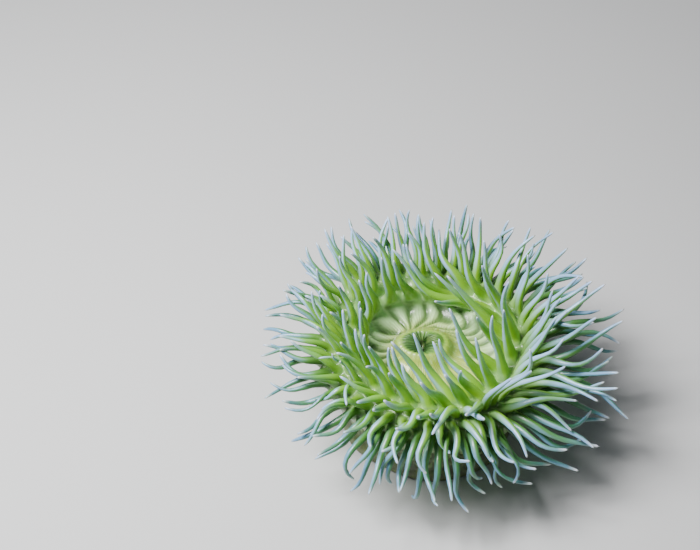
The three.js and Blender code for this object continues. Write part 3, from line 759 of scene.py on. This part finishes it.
# %% Give every foot its tentacle
field_middles = rim_point(azimuths, rolls)
field_normals = rim_normal(azimuths, rolls)
field_across = outward(azimuths + 90)
corner_places = read_places(skin.data) / MM
tentacle_of = np.full(len(corner_places), -1)
slot_of = np.zeros(len(corner_places), dtype=int)
sides = np.zeros(len(lines), dtype=int)
first_angle = np.zeros(len(lines))
for corners in foot_corners:
    middle = corner_places[corners].mean(axis=0)
    arms = corner_places[corners] - middle
    tentacle = np.argmin(np.linalg.norm(field_middles - middle, axis=1))
    forward = np.cross(field_normals[tentacle], field_across[tentacle])
    angles = np.degrees(np.arctan2(arms @ forward, arms @ field_across[tentacle]))
    order = np.argsort(angles)
    slots = np.arange(len(corners))
    tentacle_of[corners] = tentacle
    slot_of[corners[order]] = slots
    sides[tentacle] = len(corners)
    first_angle[tentacle] = (angles[order] - slots * 360 / len(corners)).mean()
skin.data.attributes["tentacle"].data.foreach_set("value", tentacle_of)
skin.data.attributes["slot"].data.foreach_set("value", slot_of)
print("tentacles with a foot:", np.count_nonzero(sides), "of", len(lines))

# %% [markdown]
# ## Extrude the tentacles
#
# A tentacle made on its own and pushed into the rim would show a seam all round its root. Extruded from the
# rim, flesh runs into flesh. All 240 feet are extruded at once, seven times over, and each new ring is
# carried to its place on the tentacle's middle line. A ring must not spin as the line bends, so its two
# directions are carried along the line from the foot, turned only as much as the line itself turns.

# %% Carry the directions along each line
RING_PLACES = (0.06, 0.15, 0.29, 0.46, 0.64, 0.82, 1.0)
ways = unit(np.gradient(lines, axis=1))


def across_way(vectors, way):
    return unit(vectors - (vectors * way).sum(axis=1, keepdims=True) * way)


carried = [across_way(field_across, ways[:, 0])]
for step in range(1, STEPS + 1):
    carried.append(across_way(carried[-1], ways[:, step]))
carried = np.stack(carried, axis=1)


def along_lines(values, share):
    place = share * STEPS
    before = min(int(place), STEPS - 1)
    return values[:, before] * (1 - place + before) + values[:, before + 1] * (place - before)


print("directions carried to", len(RING_PLACES), "rings")

# %% [markdown]
# The crown has settled, but a few lines still lie nearer to each other than their tentacles are thick,
# where the roots hold them fast. Two real ones would press each other flat there. So the length between two
# rings is measured at six spots against every length near it, and where two would cut in, both get slimmer.

# %% Slim the lengths that would touch
GAP_LEFT = 0.3
LEAST_KEPT = 0.62
SPOTS = 6
LENGTHS_NEAR = 18
SPOT_SHARES = (np.arange(SPOTS) + 0.5) / SPOTS


def at_spots(values):
    rings = np.stack([along_lines(values, share) for share in (0, *RING_PLACES)], axis=1)
    share = SPOT_SHARES.reshape((-1,) + (1,) * (rings.ndim - 2))
    spots = rings[:, :-1, None] * (1 - share) + rings[:, 1:, None] * share
    return spots.reshape((-1, SPOTS) + rings.shape[2:])


spots, thick = at_spots(lines), at_spots(radii)
middles = spots.mean(axis=1)
owners = np.repeat(np.arange(len(lines)), len(RING_PLACES))
near = np.linalg.norm(middles[:, None] - middles, axis=2) < LENGTHS_NEAR
a, b = np.nonzero(np.triu(near, 1) & (owners[:, None] != owners))
distance = np.linalg.norm(spots[a][:, :, None] - spots[b][:, None], axis=3)
fit = (distance / (thick[a][:, :, None] + thick[b][:, None] + GAP_LEFT)).min(axis=(1, 2))
length_kept = np.ones(len(owners))
np.minimum.at(length_kept, a, fit)
np.minimum.at(length_kept, b, fit)
length_kept = length_kept.reshape(len(lines), -1)
next_kept = np.append(length_kept[:, 1:], np.ones((len(lines), 1)), axis=1)
ring_kept = np.clip(np.minimum(length_kept, next_kept), LEAST_KEPT, 1)
print("lengths slimmed:", (length_kept < 1).sum(), "of", length_kept.size)

# %% [markdown]
# Subdivision will pull a ring inwards, by 7.5% for eight corners and 3.4% for twelve, so the rings are made
# that much wider first.

# %% Extrude ring after ring
SHRINK = {8: 0.925, 12: 0.966}
shrink = np.array([SHRINK[count] for count in sides])
select_faces(skin, foot_faces)
for number, share in enumerate(RING_PLACES):
    bpy.ops.mesh.extrude_region_move()
    done()
    mesh = skin.data
    picked = picked_corners(mesh)
    tentacle = attribute(mesh, "tentacle", int)[picked]
    angle = np.radians(first_angle[tentacle] + attribute(mesh, "slot", int)[picked] * 360 / sides[tentacle])
    across = along_lines(carried, share)[tentacle]
    forward = np.cross(along_lines(ways, share)[tentacle], across)
    thick = (along_lines(radii, share) * ring_kept[:, number] / shrink)[tentacle]
    spread = across * np.cos(angle)[:, None] + forward * np.sin(angle)[:, None]
    places = read_places(mesh)
    places[picked] = (along_lines(lines, share)[tentacle] + spread * thick[:, None]) * MM
    write_places(mesh, places)
    reached = attribute(mesh, "along")
    reached[picked] = share
    mesh.attributes["along"].data.foreach_set("value", reached)
    bpy.ops.object.mode_set(mode="EDIT")
done()
print("cage:", len(skin.data.vertices), "corners", len(skin.data.polygons), "faces")

# %% [markdown]
# ## The tentacles' strips of the map
#
# Each tentacle gets a small cell of the image, in six lines of forty above the body's rectangle. Round the
# tentacle runs across the cell, along it runs up, and the little end face is a round patch at the top. The
# two faces that close the sole and the throat get round patches beside the body's rectangle.

# %% Read the mesh face by face
def read_loops(mesh):
    corners = np.empty(len(mesh.loops), dtype=int)
    mesh.loops.foreach_get("vertex_index", corners)
    face_sizes = np.empty(len(mesh.polygons), dtype=int)
    mesh.polygons.foreach_get("loop_total", face_sizes)
    return corners, np.repeat(np.arange(len(face_sizes)), face_sizes), face_sizes


mesh = skin.data
corners, faces, face_sizes = read_loops(mesh)
tentacle = attribute(mesh, "tentacle", int)
slot = attribute(mesh, "slot", int)
along = attribute(mesh, "along")
highest = np.zeros(len(face_sizes))
np.maximum.at(highest, faces, along[corners])
on_side = (face_sizes == 4) & (highest > 0)
ends = (face_sizes > 4) & (highest > 0)
print("faces on the tentacles' sides:", on_side.sum(), "ends:", ends.sum())

# %% Lay out the tentacles' map
CELLS_ACROSS = 40
CELL_WIDTH = 1 / CELLS_ACROSS
CELL_HEIGHT = 0.1
FIRST_CELL = 1 - len(lines) / CELLS_ACROSS * CELL_HEIGHT
CELL_MARGIN = 0.0012
STRIP_TOP = 0.085
END_PATCH = np.array((CELL_WIDTH / 2, (STRIP_TOP + CELL_HEIGHT) / 2 + CELL_MARGIN))
END_RADIUS = 0.005


def cell_corner(number):
    across, up = number % CELLS_ACROSS, number // CELLS_ACROSS
    return np.stack((across * CELL_WIDTH, FIRST_CELL + up * CELL_HEIGHT), axis=1)


def patch(turn, radius):
    return radius * np.stack((np.cos(turn), np.sin(turn)), axis=1)


uv = np.empty(2 * len(corners))
mesh.uv_layers["OFBake"].data.foreach_get("uv", uv)
uv = uv.reshape(-1, 2)

side = on_side[faces]
strip = tentacle[corners[side]]
around = slot[corners[side]].reshape(-1, 4)
count = sides[strip].reshape(-1, 4)
last_side = (np.ptp(around, axis=1) > 1)[:, None] & (around == 0)
around = np.where(last_side, count, around).ravel() / count.ravel()
inside_cell = np.stack((around * (CELL_WIDTH - 2 * CELL_MARGIN), along[corners[side]] * STRIP_TOP), axis=1)
uv[side] = cell_corner(strip) + CELL_MARGIN + inside_cell

end = ends[faces]
strip = tentacle[corners[end]]
turn = slot[corners[end]] / sides[strip] * 2 * math.pi
uv[end] = cell_corner(strip) + END_PATCH + patch(turn, END_RADIUS)
print("laid out:", side.sum(), "face corners on the sides,", end.sum(), "on the tips")

# %% Lay out the sole and the throat's end
CLOSING_PATCHES = ((0, (0.95, 0.1), 0.045), (LAST_RING, (0.95, 0.25), 0.02))
ring = attribute(mesh, "ring")
full_turn = np.linspace(0, 2 * math.pi, COLUMNS, endpoint=False)
for end_ring, middle, radius in CLOSING_PATCHES:
    whole = (face_sizes == COLUMNS)[faces] & (ring[corners] == end_ring)
    uv[whole] = np.array(middle) + patch(full_turn, radius)
mesh.uv_layers["OFBake"].data.foreach_set("uv", uv.ravel())
print("map from", uv.min(axis=0).round(3), "to", uv.max(axis=0).round(3))

# %% [markdown]
# ## Smooth the cage
#
# One level of subdivision turns the cage into flesh. The colours will need to know where on the animal they
# are, so each corner is first told its tentacle's row, from 0 inside to 1 outside, and a number of its own
# from 0 to 1, and subdivision blends both.

# %% Smooth the cage
BODY_SHARE = 0.5
on_tentacle = tentacle >= 0
outer = np.where(on_tentacle, row_of[tentacle] / (len(ROWS) - 1), BODY_SHARE)
tint = np.where(on_tentacle, chance(tentacle, "tint"), BODY_SHARE)
mesh.attributes["outer"].data.foreach_set("value", outer)
mesh.attributes["tint"].data.foreach_set("value", tint)
face_outwards(skin)
smoothing = skin.modifiers.new("smoothing", "SUBSURF")
smoothing.levels = smoothing.render_levels = 1
smoothing.uv_smooth = "NONE"
bpy.ops.object.modifier_apply(modifier=smoothing.name)
bpy.ops.object.shade_smooth()
skin.data.calc_loop_triangles()
print("skin:", len(skin.data.loop_triangles), "triangles")

# %% [markdown]
# ## Folds of the disc
#
# The disc is drawn into radial folds. They are deep on the far side, where on the right they swing round
# the mouth in nested curves, and nearly flat on the near side. They could be sculpted, but a formula is
# easier to shift and to repeat. A fold is a sine of the angle round the mouth: near its zeros lies the
# groove. The angle is bowed, hooked and wavered first, by tables and by two slow waves. Last, a shallow
# trough is pressed in beside the lips on the near right.

# %% Measure where each corner is on the disc
RIM_EDGE = (39.5, 37.5)


def limited(values):
    return np.clip(values, 0, 1)


mesh = skin.data
places = read_places(mesh) / MM
normals = np.empty(3 * len(places))
mesh.vertices.foreach_get("normal", normals)
normals = normals.reshape(-1, 3)
ring = attribute(mesh, "ring")
along = attribute(mesh, "along")
mouth_rings = np.arange(FIRST_DISC - len(RIM_EDGE), len(stations))
mouth_radii = np.append(RIM_EDGE, [radius for radius, _ in DISC_PROFILE + LIP_PROFILE + THROAT_PROFILE])
radius = np.interp(ring, mouth_rings, mouth_radii)
share = mouth_share(radius)
angle = np.degrees(np.arctan2(places[:, 1] - MOUTH[1] * share, places[:, 0] - MOUTH[0] * share)) % 360
inward = limited((RIM_EDGE[0] - radius) / (RIM_EDGE[0] - DISC_PROFILE[-1][0]))
print("corners on the disc:", ((inward > 0) & (inward < 1)).sum())

# %% Fold the disc
FOLDS = 12
FOLD_PHASE = 7.5
FOLD_DEPTH, FOLD_LEAST, FOLD_MORE = 3.0, 0.7, 0.6
FOLD_POWER, FOLD_LEVEL = 0.75, 0.75
FOLD_HEIGHT = ((0, 0.4), (45, 0.95), (90, 0.85), (150, 0.9), (190, 0.7), (225, 0.25), (300, 0.1), (335, 0.15))
FOLD_BOW = ((0, 10), (45, 22), (80, 12), (110, 0), (330, 0))
FOLD_HOOK = ((0, 0), (45, 14), (80, 26), (105, 4), (130, -10), (180, -6), (230, 0))
WAVERS = ((3.2, 5, 7), (1.6, 11, -9))
STARTS_IN, ENDS_OUT = 6, 3.5
ROOTLESS = 0.01

bow = round_ring(FOLD_BOW, angle) * np.sin(math.pi * inward)
turned = angle + bow - round_ring(FOLD_HOOK, angle) * inward**3
turned += sum(by * np.sin(np.radians(turns * angle + slant * radius)) for by, turns, slant in WAVERS)
crest = np.abs(np.sin(np.radians(FOLDS * (turned + FOLD_PHASE)))) ** FOLD_POWER
fade = limited(inward * STARTS_IN) * limited((1 - inward) * ENDS_OUT) * (along < ROOTLESS)
fold_number = np.floor((turned + FOLD_PHASE) * FOLDS / 180)
height = FOLD_DEPTH * (FOLD_LEAST + FOLD_MORE * chance(fold_number, "fold"))
folded = round_ring(FOLD_HEIGHT, angle) * fade
places[:, 2] += height * folded * (crest - FOLD_LEVEL)
print("disc folds up to %.1f mm deep" % height.max())

# %% Note the crests for painted highlight, and the grooves and the trough for painted shade, and press in the trough
CREST_GAIN, CREST_FADE = 1.3, 1.5
GROOVE_GAIN, GROOVE_SPREAD = 1.8, 1.9
TROUGH_AT, TROUGH_WIDE = 312, 38
TROUGH_RADIUS, TROUGH_BROAD = 15.5, 2.6
TROUGH_DEPTH, TROUGH_SHADE = 0.9, 0.55

# The fold tops are painted paler: partly the disc's own pale colour, partly a painted highlight where they
# catch the light.
pale_crest_and_highlight = limited(folded * CREST_GAIN) * crest * limited(CREST_FADE * (1 - inward))
mesh.attributes["crest"].data.foreach_set("value", pale_crest_and_highlight)
trough = np.exp(-(((angle - TROUGH_AT) / TROUGH_WIDE) ** 2) - ((radius - TROUGH_RADIUS) / TROUGH_BROAD) ** 2)
places[:, 2] -= TROUGH_DEPTH * trough
# Painted shade in the fold grooves and in the trough beside the lips.
groove = limited(folded * GROOVE_GAIN) * limited(GROOVE_SPREAD * (1 - crest))
groove = np.maximum(groove, TROUGH_SHADE * trough)
print("crests from 0 to %.2f, grooves to %.2f" % (pale_crest_and_highlight.max(), groove.max()))

# %% [markdown]
# ## The mouth
#
# The lips are pleated and the throat is ribbed, both by one cosine with an uneven step. Two lobes of the
# throat's wall swell up out of the mouth, the larger on the right, and the opening is drawn in from left
# and right to a slit, a little to the left. Last, the whole mouth is tipped by two slow waves, so that its
# rim isn't level.

# %% Pleat the lips and rib the throat
PLEATS = 26
PLEAT_HEIGHT = 0.55
PLEAT_WAVERS = ((70, 3), (50, 7))
OUTSIDE_SHARE = 0.2
INNER_LIP, INNER_LIP_WIDTH, LIP_WIDTH = 4.2, 2, 3
INNER_SHADE, OUTER_SHADE = 0.6, 0.15

past_lip = ring - FIRST_LIP
inside = limited((past_lip - INNER_LIP) / INNER_LIP_WIDTH) * (ring < LAST_RING - 0.5)
outside = limited(past_lip / LIP_WIDTH) * (1 - inside)
pleat_angle = PLEATS * angle
for by, turns in PLEAT_WAVERS:
    pleat_angle = pleat_angle + by * np.sin(np.radians(turns * angle))
ridge = np.cos(np.radians(pleat_angle))
places += normals * (PLEAT_HEIGHT * (OUTSIDE_SHARE * outside + inside) * ridge)[:, None]
# Painted shade in the grooves between the pleats and ribs.
groove = np.maximum(groove, limited(-ridge) * (INNER_SHADE * inside + OUTER_SHADE * outside))
mesh.attributes["groove"].data.foreach_set("value", groove)
print("pleats:", PLEATS, "on", (inside + outside > 0).sum(), "corners")

# %% Swell the lobes and draw in the slit
LOBE_HEIGHT = 4.2
LOBES = ((1.0, 10, 1.5), (0.5, 170, 3))
LOBE_EDGE, LOBE_FADE = 2, 3
LIP_WIDER, WIDER_FROM, WIDER_OVER = 0.38, 4, 7
SLIT, SLIT_ASIDE = 0.74, 0.8
SLIT_RADIUS, SLIT_FADE = 7.0, 4
TIPPED, TIP_WAVES = 0.45, ((1.0, 2, 60), (0.5, 3, 0))

lobes = sum(size * limited(np.cos(np.radians(angle - azimuth))) ** power for size, azimuth, power in LOBES)
places[:, 2] += LOBE_HEIGHT * lobes * inside * limited((radius - LOBE_EDGE) / LOBE_FADE)
middle_x = MOUTH[0] * share
widened = 1 + LIP_WIDER * ease(limited((past_lip + WIDER_FROM) / WIDER_OVER))
slit = 1 - SLIT * ease(limited((SLIT_RADIUS - radius) / SLIT_FADE)) * (ring > FIRST_LIP)
places[:, 0] = middle_x + (places[:, 0] - middle_x) * slit * widened - SLIT_ASIDE * (1 - slit)
uneven = sum(size * np.sin(np.radians(turns * angle + phase)) for size, turns, phase in TIP_WAVES)
places[:, 2] += TIPPED * uneven * limited((past_lip + 1) / LIP_WIDTH)
print("slit narrowed to %.2f of its width" % slit.min())

# %% [markdown]
# ## Swellings
#
# A tentacle is a bag of water with muscle round it, so it is never quite even. Each has three to six slight
# swellings, which fade towards the tip. They could be sculpted on 240 tentacles, or pressed in by a noise
# texture, but a sine along each one keeps them round the tentacle like rings, and its own number starts it.

# %% Swell and pinch the tentacles
SWELL_HEIGHT = 0.12
SWELLINGS_LEAST, SWELLINGS_MORE, SWELL_PHASE = 3, 3, 7
SWELL_STARTS, SWELL_FADES = 6, 0.6
tint = attribute(mesh, "tint")
swelling = np.sin(2 * math.pi * (along * (SWELLINGS_LEAST + SWELLINGS_MORE * tint) + SWELL_PHASE * tint))
swelling = swelling * limited(along * SWELL_STARTS)
places += normals * (SWELL_HEIGHT * swelling * (1 - SWELL_FADES * along))[:, None]
write_places(mesh, places * MM)
print("highest point: %.1f mm" % places[:, 2].max())

# %% [markdown]
# ## Writing materials as sums
#
# A node tree is a formula. One small class wraps a socket, so that a formula can be typed as one: adding,
# taking away and multiplying make Math nodes, and any other node comes from one method.

# %% A socket that can be added and multiplied
class Wire:
    tree = None

    def __init__(self, socket):
        self.socket = socket

    @classmethod
    def node(cls, kind, settings=None, inputs=None, out=0):
        node = cls.tree.nodes.new(kind)
        for name, value in (settings or {}).items():
            if name == "stops":
                ramp = node.color_ramp
                for place, colour in value[1:-1]:
                    ramp.elements.new(place).color = colour + (1,)
                for end, (place, colour) in ((0, value[0]), (-1, value[-1])):
                    ramp.elements[end].position = place
                    ramp.elements[end].color = colour + (1,)
            else:
                setattr(node, name, value)
        for name, value in (inputs or {}).items():
            if isinstance(value, Wire):
                cls.tree.links.new(value.socket, node.inputs[name])
            else:
                node.inputs[name].default_value = value
        return cls(node.outputs[out])

    def beside(self, out):
        return Wire(self.socket.node.outputs[out])

    def math(self, operation, other, swapped=False):
        first, second = (other, self) if swapped else (self, other)
        return Wire.node("ShaderNodeMath", {"operation": operation}, {0: first, 1: second})

    def __add__(self, other):
        return self.math("ADD", other)

    def __sub__(self, other):
        return self.math("SUBTRACT", other)

    def __rsub__(self, other):
        return self.math("SUBTRACT", other, swapped=True)

    def __mul__(self, other):
        return self.math("MULTIPLY", other)

    __radd__ = __add__
    __rmul__ = __mul__


# %% Short names for the nodes that are used most
def named(attribute_name):
    return Wire.node("ShaderNodeAttribute", {"attribute_name": attribute_name}, out="Fac")


def ramp(value, *stops):
    return Wire.node("ShaderNodeValToRGB", {"stops": stops}, {"Fac": value})


def smooth(value, low, high):
    settings = {"interpolation_type": "SMOOTHSTEP"}
    return Wire.node("ShaderNodeMapRange", settings, {"Value": value, "From Min": low, "From Max": high})


def blend(share, first, second):
    first, second = (end if isinstance(end, Wire) else end + (1,) for end in (first, second))
    return Wire.node("ShaderNodeMix", {"data_type": "RGBA"}, {0: share, 6: first, 7: second}, out=2)


def noise(place, scale, detail=3, roughness=0.55):
    inputs = {"Vector": place, "Scale": scale, "Detail": detail, "Roughness": roughness}
    return Wire.node("ShaderNodeTexNoise", {}, inputs, out="Fac")


def vector(operation, *values, out="Vector"):
    return Wire.node("ShaderNodeVectorMath", {"operation": operation}, dict(enumerate(values)), out=out)


# %% [markdown]
# ## The flesh of the body
#
# A material for each part would show a line wherever two meet, and this animal's colours flow. So one
# material covers the whole of it. The ring number runs from the sole to the throat, and one colour ramp
# along it paints the body: olive column; a paler rim, darkened with painted shade between the roots of
# the outer rows; minty disc; yellow-green centre; and a dark throat, painted darker still towards its
# depth as painted shade.

# %% Colours of the body
flesh = bpy.data.materials.new("anemone_flesh")
flesh.use_nodes = True
Wire.tree = flesh.node_tree
shader = flesh.node_tree.nodes["Principled BSDF"]
place = Wire.node("ShaderNodeTexCoord", out="Object")


def at(ring_number):
    return ring_number / LAST_RING


body = ramp(
    named("ring") * (1 / LAST_RING),
    (0.0, (0.16, 0.17, 0.08)),
    (at(5), (0.055, 0.085, 0.018)),
    (at(12), (0.075, 0.125, 0.025)),
    (at(15), (0.10, 0.19, 0.05)),
    (at(19), (0.13, 0.24, 0.08)),
    # Painted shade: the rim between the roots of the outer rows is painted darker.
    (at(23), (0.09, 0.20, 0.05)),
    (at(29), (0.12, 0.26, 0.06)),
    (at(32), (0.24, 0.46, 0.13)),
    (at(34), (0.56, 0.74, 0.48)),
    (at(36.5), (0.58, 0.70, 0.24)),
    (at(38.5), (0.50, 0.56, 0.12)),
    (at(40.3), (0.25, 0.33, 0.03)),
    (at(42), (0.27, 0.38, 0.03)),
    (at(45), (0.32, 0.50, 0.05)),
    (at(46.4), (0.15, 0.32, 0.04)),
    # Painted shade: from here the throat is painted darker and darker towards its depth.
    (at(48.3), (0.06, 0.17, 0.03)),
    (at(49.4), (0.02, 0.06, 0.01)),
    (1.0, (0.004, 0.012, 0.002)),
)
print("nodes so far:", len(flesh.node_tree.nodes))

# %% [markdown]
# The disc is marked in three ways, all of them fanned out from the mouth: fine lines, which are a sine of
# the bearing from the mouth; streaks, which are noise read on a circle, so that it changes round the mouth
# and barely along a fold; and the crests and grooves that the mesh knows, the crests painted paler, partly
# as painted highlight, and the grooves painted dark as painted shade.

# %% Lines, streaks and blotches of the disc
LINES, LINE_WOBBLE, WOBBLE_SCALE = 96, 9, 90
BLOTCH_SCALE = 110
STREAKS_ROUND, STREAKS_ALONG = (7, 7, 7), 0.35

aside = Wire.node("ShaderNodeSeparateXYZ", {}, {"Vector": place}, out="X")
ahead = aside.beside("Y") - MOUTH[1] * MM
aside = aside - MOUTH[0] * MM
bearing = Wire.node("ShaderNodeMath", {"operation": "ARCTAN2"}, {0: ahead, 1: aside})
wobble = noise(place, WOBBLE_SCALE, detail=2)
lined = Wire.node("ShaderNodeMath", {"operation": "SINE"}, {0: bearing * LINES + wobble * LINE_WOBBLE})

past_rim = smooth(named("ring"), FIRST_DISC - 1, FIRST_DISC + 2)
on_disc = past_rim * (1 - smooth(named("ring"), FIRST_LIP + 1, FIRST_LIP + 4))
blotch = smooth(noise(place, BLOTCH_SCALE, detail=4), 0.5, 0.72)

level = Wire.node("ShaderNodeCombineXYZ", {}, {"X": aside, "Y": ahead})
inwards = Wire.node("ShaderNodeCombineXYZ", {}, {"Z": named("ring") * STREAKS_ALONG})
fanned = vector("MULTIPLY_ADD", vector("NORMALIZE", level), STREAKS_ROUND, inwards)
streak = noise(fanned, 1, detail=5, roughness=0.65)
print("nodes so far:", len(flesh.node_tree.nodes))

# %% [markdown]
# The marks go on one over the other, like glazes. Each is a mask, how strongly it covers, and a colour. The
# near side of the disc is yellower than the far side, and the left half of the mouth is in shade.

# %% Glaze the marks over the body
FLECK_SCALE = 160
near_side = on_disc * (1 - smooth(ahead, -0.02, 0.004))
in_mouth = smooth(named("ring"), FIRST_LIP + 3.6, FIRST_LIP + 4.8)
glazes = (
    (smooth(noise(place, FLECK_SCALE), 0.42, 0.68), 0.3, (0.38, 0.52, 0.16)),
    (named("raised"), 0.7, (0.30, 0.44, 0.18)),
    (on_disc * blotch, 0.4, (0.64, 0.78, 0.36)),
    (near_side, 0.8, (0.50, 0.60, 0.06)),
    # Pale fold crests: partly the disc's own colour, partly painted highlight.
    (named("crest"), 0.9, (0.52, 0.80, 0.38)),
    (on_disc * smooth(streak, 0.5, 0.68), 0.5, (0.62, 0.84, 0.44)),
    (on_disc * (1 - smooth(streak, 0.3, 0.46)), 0.6, (0.22, 0.38, 0.06)),
    (on_disc * smooth(lined, 0.2, 1.0), 0.35, (0.30, 0.40, 0.12)),
    # Painted shade in the grooves of the folds, the pleats and the trough.
    (named("groove"), 0.92, (0.06, 0.14, 0.03)),
    (in_mouth * smooth(0 - aside, -0.001, 0.003), 0.7, (0.045, 0.11, 0.035)),
)
for mask, strength, glaze in glazes:
    body = blend(mask * strength, body, glaze)
print("glazes on the body:", len(glazes))

# %% [markdown]
# ## The flesh of the tentacles
#
# A second pair of ramps, along each tentacle, goes from the green that the animal's algae give it to
# lavender and white tips. The outer rows are bluer, and they are painted darker with painted shade where
# they hang below the crown, darkest at their roots. The sides that face left and up, towards the lamp,
# carry a painted sheen, a pale highlight painted into the colour, most of all from the middle to the tip.
# Each tentacle's own number makes it a little deeper or lighter in green.

# %% Green along the tentacles
inner_green = ramp(
    named("along"),
    (0.0, (0.32, 0.56, 0.08)),
    (0.14, (0.26, 0.50, 0.012)),
    (0.4, (0.25, 0.53, 0.02)),
    (0.62, (0.23, 0.55, 0.07)),
    (0.8, (0.27, 0.53, 0.32)),
    (0.95, (0.42, 0.57, 0.80)),
    (1.0, (0.92, 0.95, 1.0)),
)
# The outer rows are bluer, and painted darker as painted shade where they hang below the crown, darkest at
# the root.
outer_green_and_shade = ramp(
    named("along"),
    (0.0, (0.05, 0.14, 0.02)),
    (0.25, (0.05, 0.18, 0.035)),
    (0.6, (0.055, 0.20, 0.12)),
    (0.85, (0.10, 0.25, 0.31)),
    (1.0, (0.88, 0.92, 0.98)),
)

# %% Painted sheen on the sides that face the lamp, and the whole colour
DEEPER_GREEN, DEEPENED = (0.12, 0.34, 0.04), 0.35
INNER_SHEEN, OUTER_SHEEN = (0.36, 0.55, 0.97), (0.16, 0.34, 0.62)
SHEEN_WAY = (-0.88, -0.2, 0.43)
SHEEN_AT_ROOT, SHEEN_TO_TIP, OUTER_LESS = 0.12, 0.84, 0.3

green = blend(smooth(named("outer"), 0.35, 0.95), inner_green, outer_green_and_shade)
green = blend(named("tint") * DEEPENED, green, DEEPER_GREEN)
# The sides that face left and up, towards the lamp, get a painted sheen: a pale highlight painted into the
# colour.
facing_lamp = vector("DOT_PRODUCT", Wire.node("ShaderNodeNewGeometry", out="Normal"), SHEEN_WAY, out="Value")
to_tip = SHEEN_AT_ROOT + SHEEN_TO_TIP * smooth(named("along"), 0.1, 0.55)
painted_sheen = smooth(facing_lamp, 0.36, 0.7) * to_tip * (1 - OUTER_LESS * named("outer"))
sheen_colour = blend(smooth(named("outer"), 0.3, 1.0), INNER_SHEEN, OUTER_SHEEN)
colour = blend(smooth(named("along"), 0.0, 0.09), body, blend(painted_sheen, green, sheen_colour))
print("nodes so far:", len(flesh.node_tree.nodes))

# %% [markdown]
# ## A wet surface
#
# Wet flesh is soft underneath and sharp on top. One low roughness would make it look like glass, so the
# flesh stays fairly dull and a thin coat shines over it, thinnest in the shade of the mouth. A little light
# passes into the flesh, and the fine wrinkles are bump.

# %% Wet surface
FINE_SCALE, COARSE_SCALE = 900, 260
COARSE_SHARE, FINE_SHARE, LINE_SHARE = 0.6, 0.4, 0.25
BUMP = {"Strength": 0.35, "Distance": 0.0006}
SHINE, UNEVEN_SHINE = 0.32, 0.22
COAT, DULLER_MOUTH = 0.45, 0.3
PLAIN = {
    "Subsurface Weight": 0.1,
    "Subsurface Radius": (0.5, 1.0, 0.35),
    "Subsurface Scale": 0.004,
    "Coat Roughness": 0.19,
}

fine = noise(place, FINE_SCALE, detail=4)
coarse = noise(place, COARSE_SCALE)
relief = COARSE_SHARE * coarse + FINE_SHARE * fine + LINE_SHARE * (on_disc * lined)
varying = {
    "Base Color": colour,
    "Roughness": SHINE + UNEVEN_SHINE * fine,
    "Normal": Wire.node("ShaderNodeBump", {}, {**BUMP, "Height": relief}, out="Normal"),
    "Coat Weight": COAT - DULLER_MOUTH * in_mouth,
}
for name, value in varying.items():
    Wire.tree.links.new(value.socket, shader.inputs[name])
for name, value in PLAIN.items():
    shader.inputs[name].default_value = value
skin.data.materials.clear()
skin.data.materials.append(flesh)
print("flesh:", len(flesh.node_tree.nodes), "nodes")

# %% [markdown]
# ## A plain studio
#
# The animal stands on a pale floor under a faint sky and one soft lamp, high up on the left. A point lamp
# would draw hard shadows among the tentacles. A wide one softens their edges, and the sky alone fills them.

# %% Floor and light
FLOOR_SIZE = 6
FLOOR_COLOUR, FLOOR_ROUGHNESS = (0.6, 0.6, 0.6, 1), 0.9
SKY_COLOUR, SKY_STRENGTH = (0.8, 0.87, 1, 1), 0.11
LAMP_PLACE, LAMP_TARGET = Vector((-0.42, -0.06, 0.76)), Vector((0, 0, 0.05))
LAMP_POWER, LAMP_SIZE = 18, 0.3

bpy.ops.mesh.primitive_plane_add(size=FLOOR_SIZE)
ground = bpy.context.object
ground.name = "studio_floor"
pale = bpy.data.materials.new("pale_floor")
pale.use_nodes = True
pale.node_tree.nodes["Principled BSDF"].inputs["Base Color"].default_value = FLOOR_COLOUR
pale.node_tree.nodes["Principled BSDF"].inputs["Roughness"].default_value = FLOOR_ROUGHNESS
ground.data.materials.append(pale)

sky = bpy.data.worlds.new("studio")
bpy.context.scene.world = sky
sky.use_nodes = True
sky.node_tree.nodes["Background"].inputs["Color"].default_value = SKY_COLOUR
sky.node_tree.nodes["Background"].inputs["Strength"].default_value = SKY_STRENGTH

bpy.ops.object.light_add(type="AREA", location=LAMP_PLACE)
lamp = bpy.context.object
lamp.data.energy = LAMP_POWER
lamp.data.size = LAMP_SIZE
lamp.rotation_euler = (LAMP_TARGET - lamp.location).to_track_quat("-Z", "Y").to_euler()
print("lamp %.2f m from the animal" % (LAMP_TARGET - LAMP_PLACE).length)

# %% [markdown]
# The camera looks down from the front. The animal isn't in the middle of the picture, so the camera is slid
# to the left and up, by a number of pixels turned into metres at its distance. A pixel's size there comes
# from the lens.

# %% Camera
PICTURE = (700, 550)
ANIMAL_IN_PICTURE = (432, 353)
LENS, SENSOR = 70, 36
DISTANCE = 0.76
ELEVATION = math.radians(46)
ANIMAL_MIDDLE = Vector((0, 0, 0.052))
FOCAL_PIXELS = LENS / SENSOR * PICTURE[0]

back = Vector((0, -math.cos(ELEVATION), math.sin(ELEVATION)))
right = Vector((1, 0, 0))
above = right.cross(-back)
sideways, down = (spot - size / 2 for spot, size in zip(ANIMAL_IN_PICTURE, PICTURE))
look = ANIMAL_MIDDLE - right * (sideways / FOCAL_PIXELS * DISTANCE) + above * (down / FOCAL_PIXELS * DISTANCE)
bpy.ops.object.camera_add(location=look + back * DISTANCE)
camera = bpy.context.object
camera.data.lens = LENS
camera.rotation_mode = "QUATERNION"
camera.rotation_quaternion = (-back).to_track_quat("-Z", "Y")
bpy.context.scene.camera = camera
print("camera at", tuple(round(place, 3) for place in camera.location))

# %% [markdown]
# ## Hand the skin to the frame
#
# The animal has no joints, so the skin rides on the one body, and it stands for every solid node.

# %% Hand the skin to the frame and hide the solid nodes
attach(skin, "root")
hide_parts(*frame["nodes"])
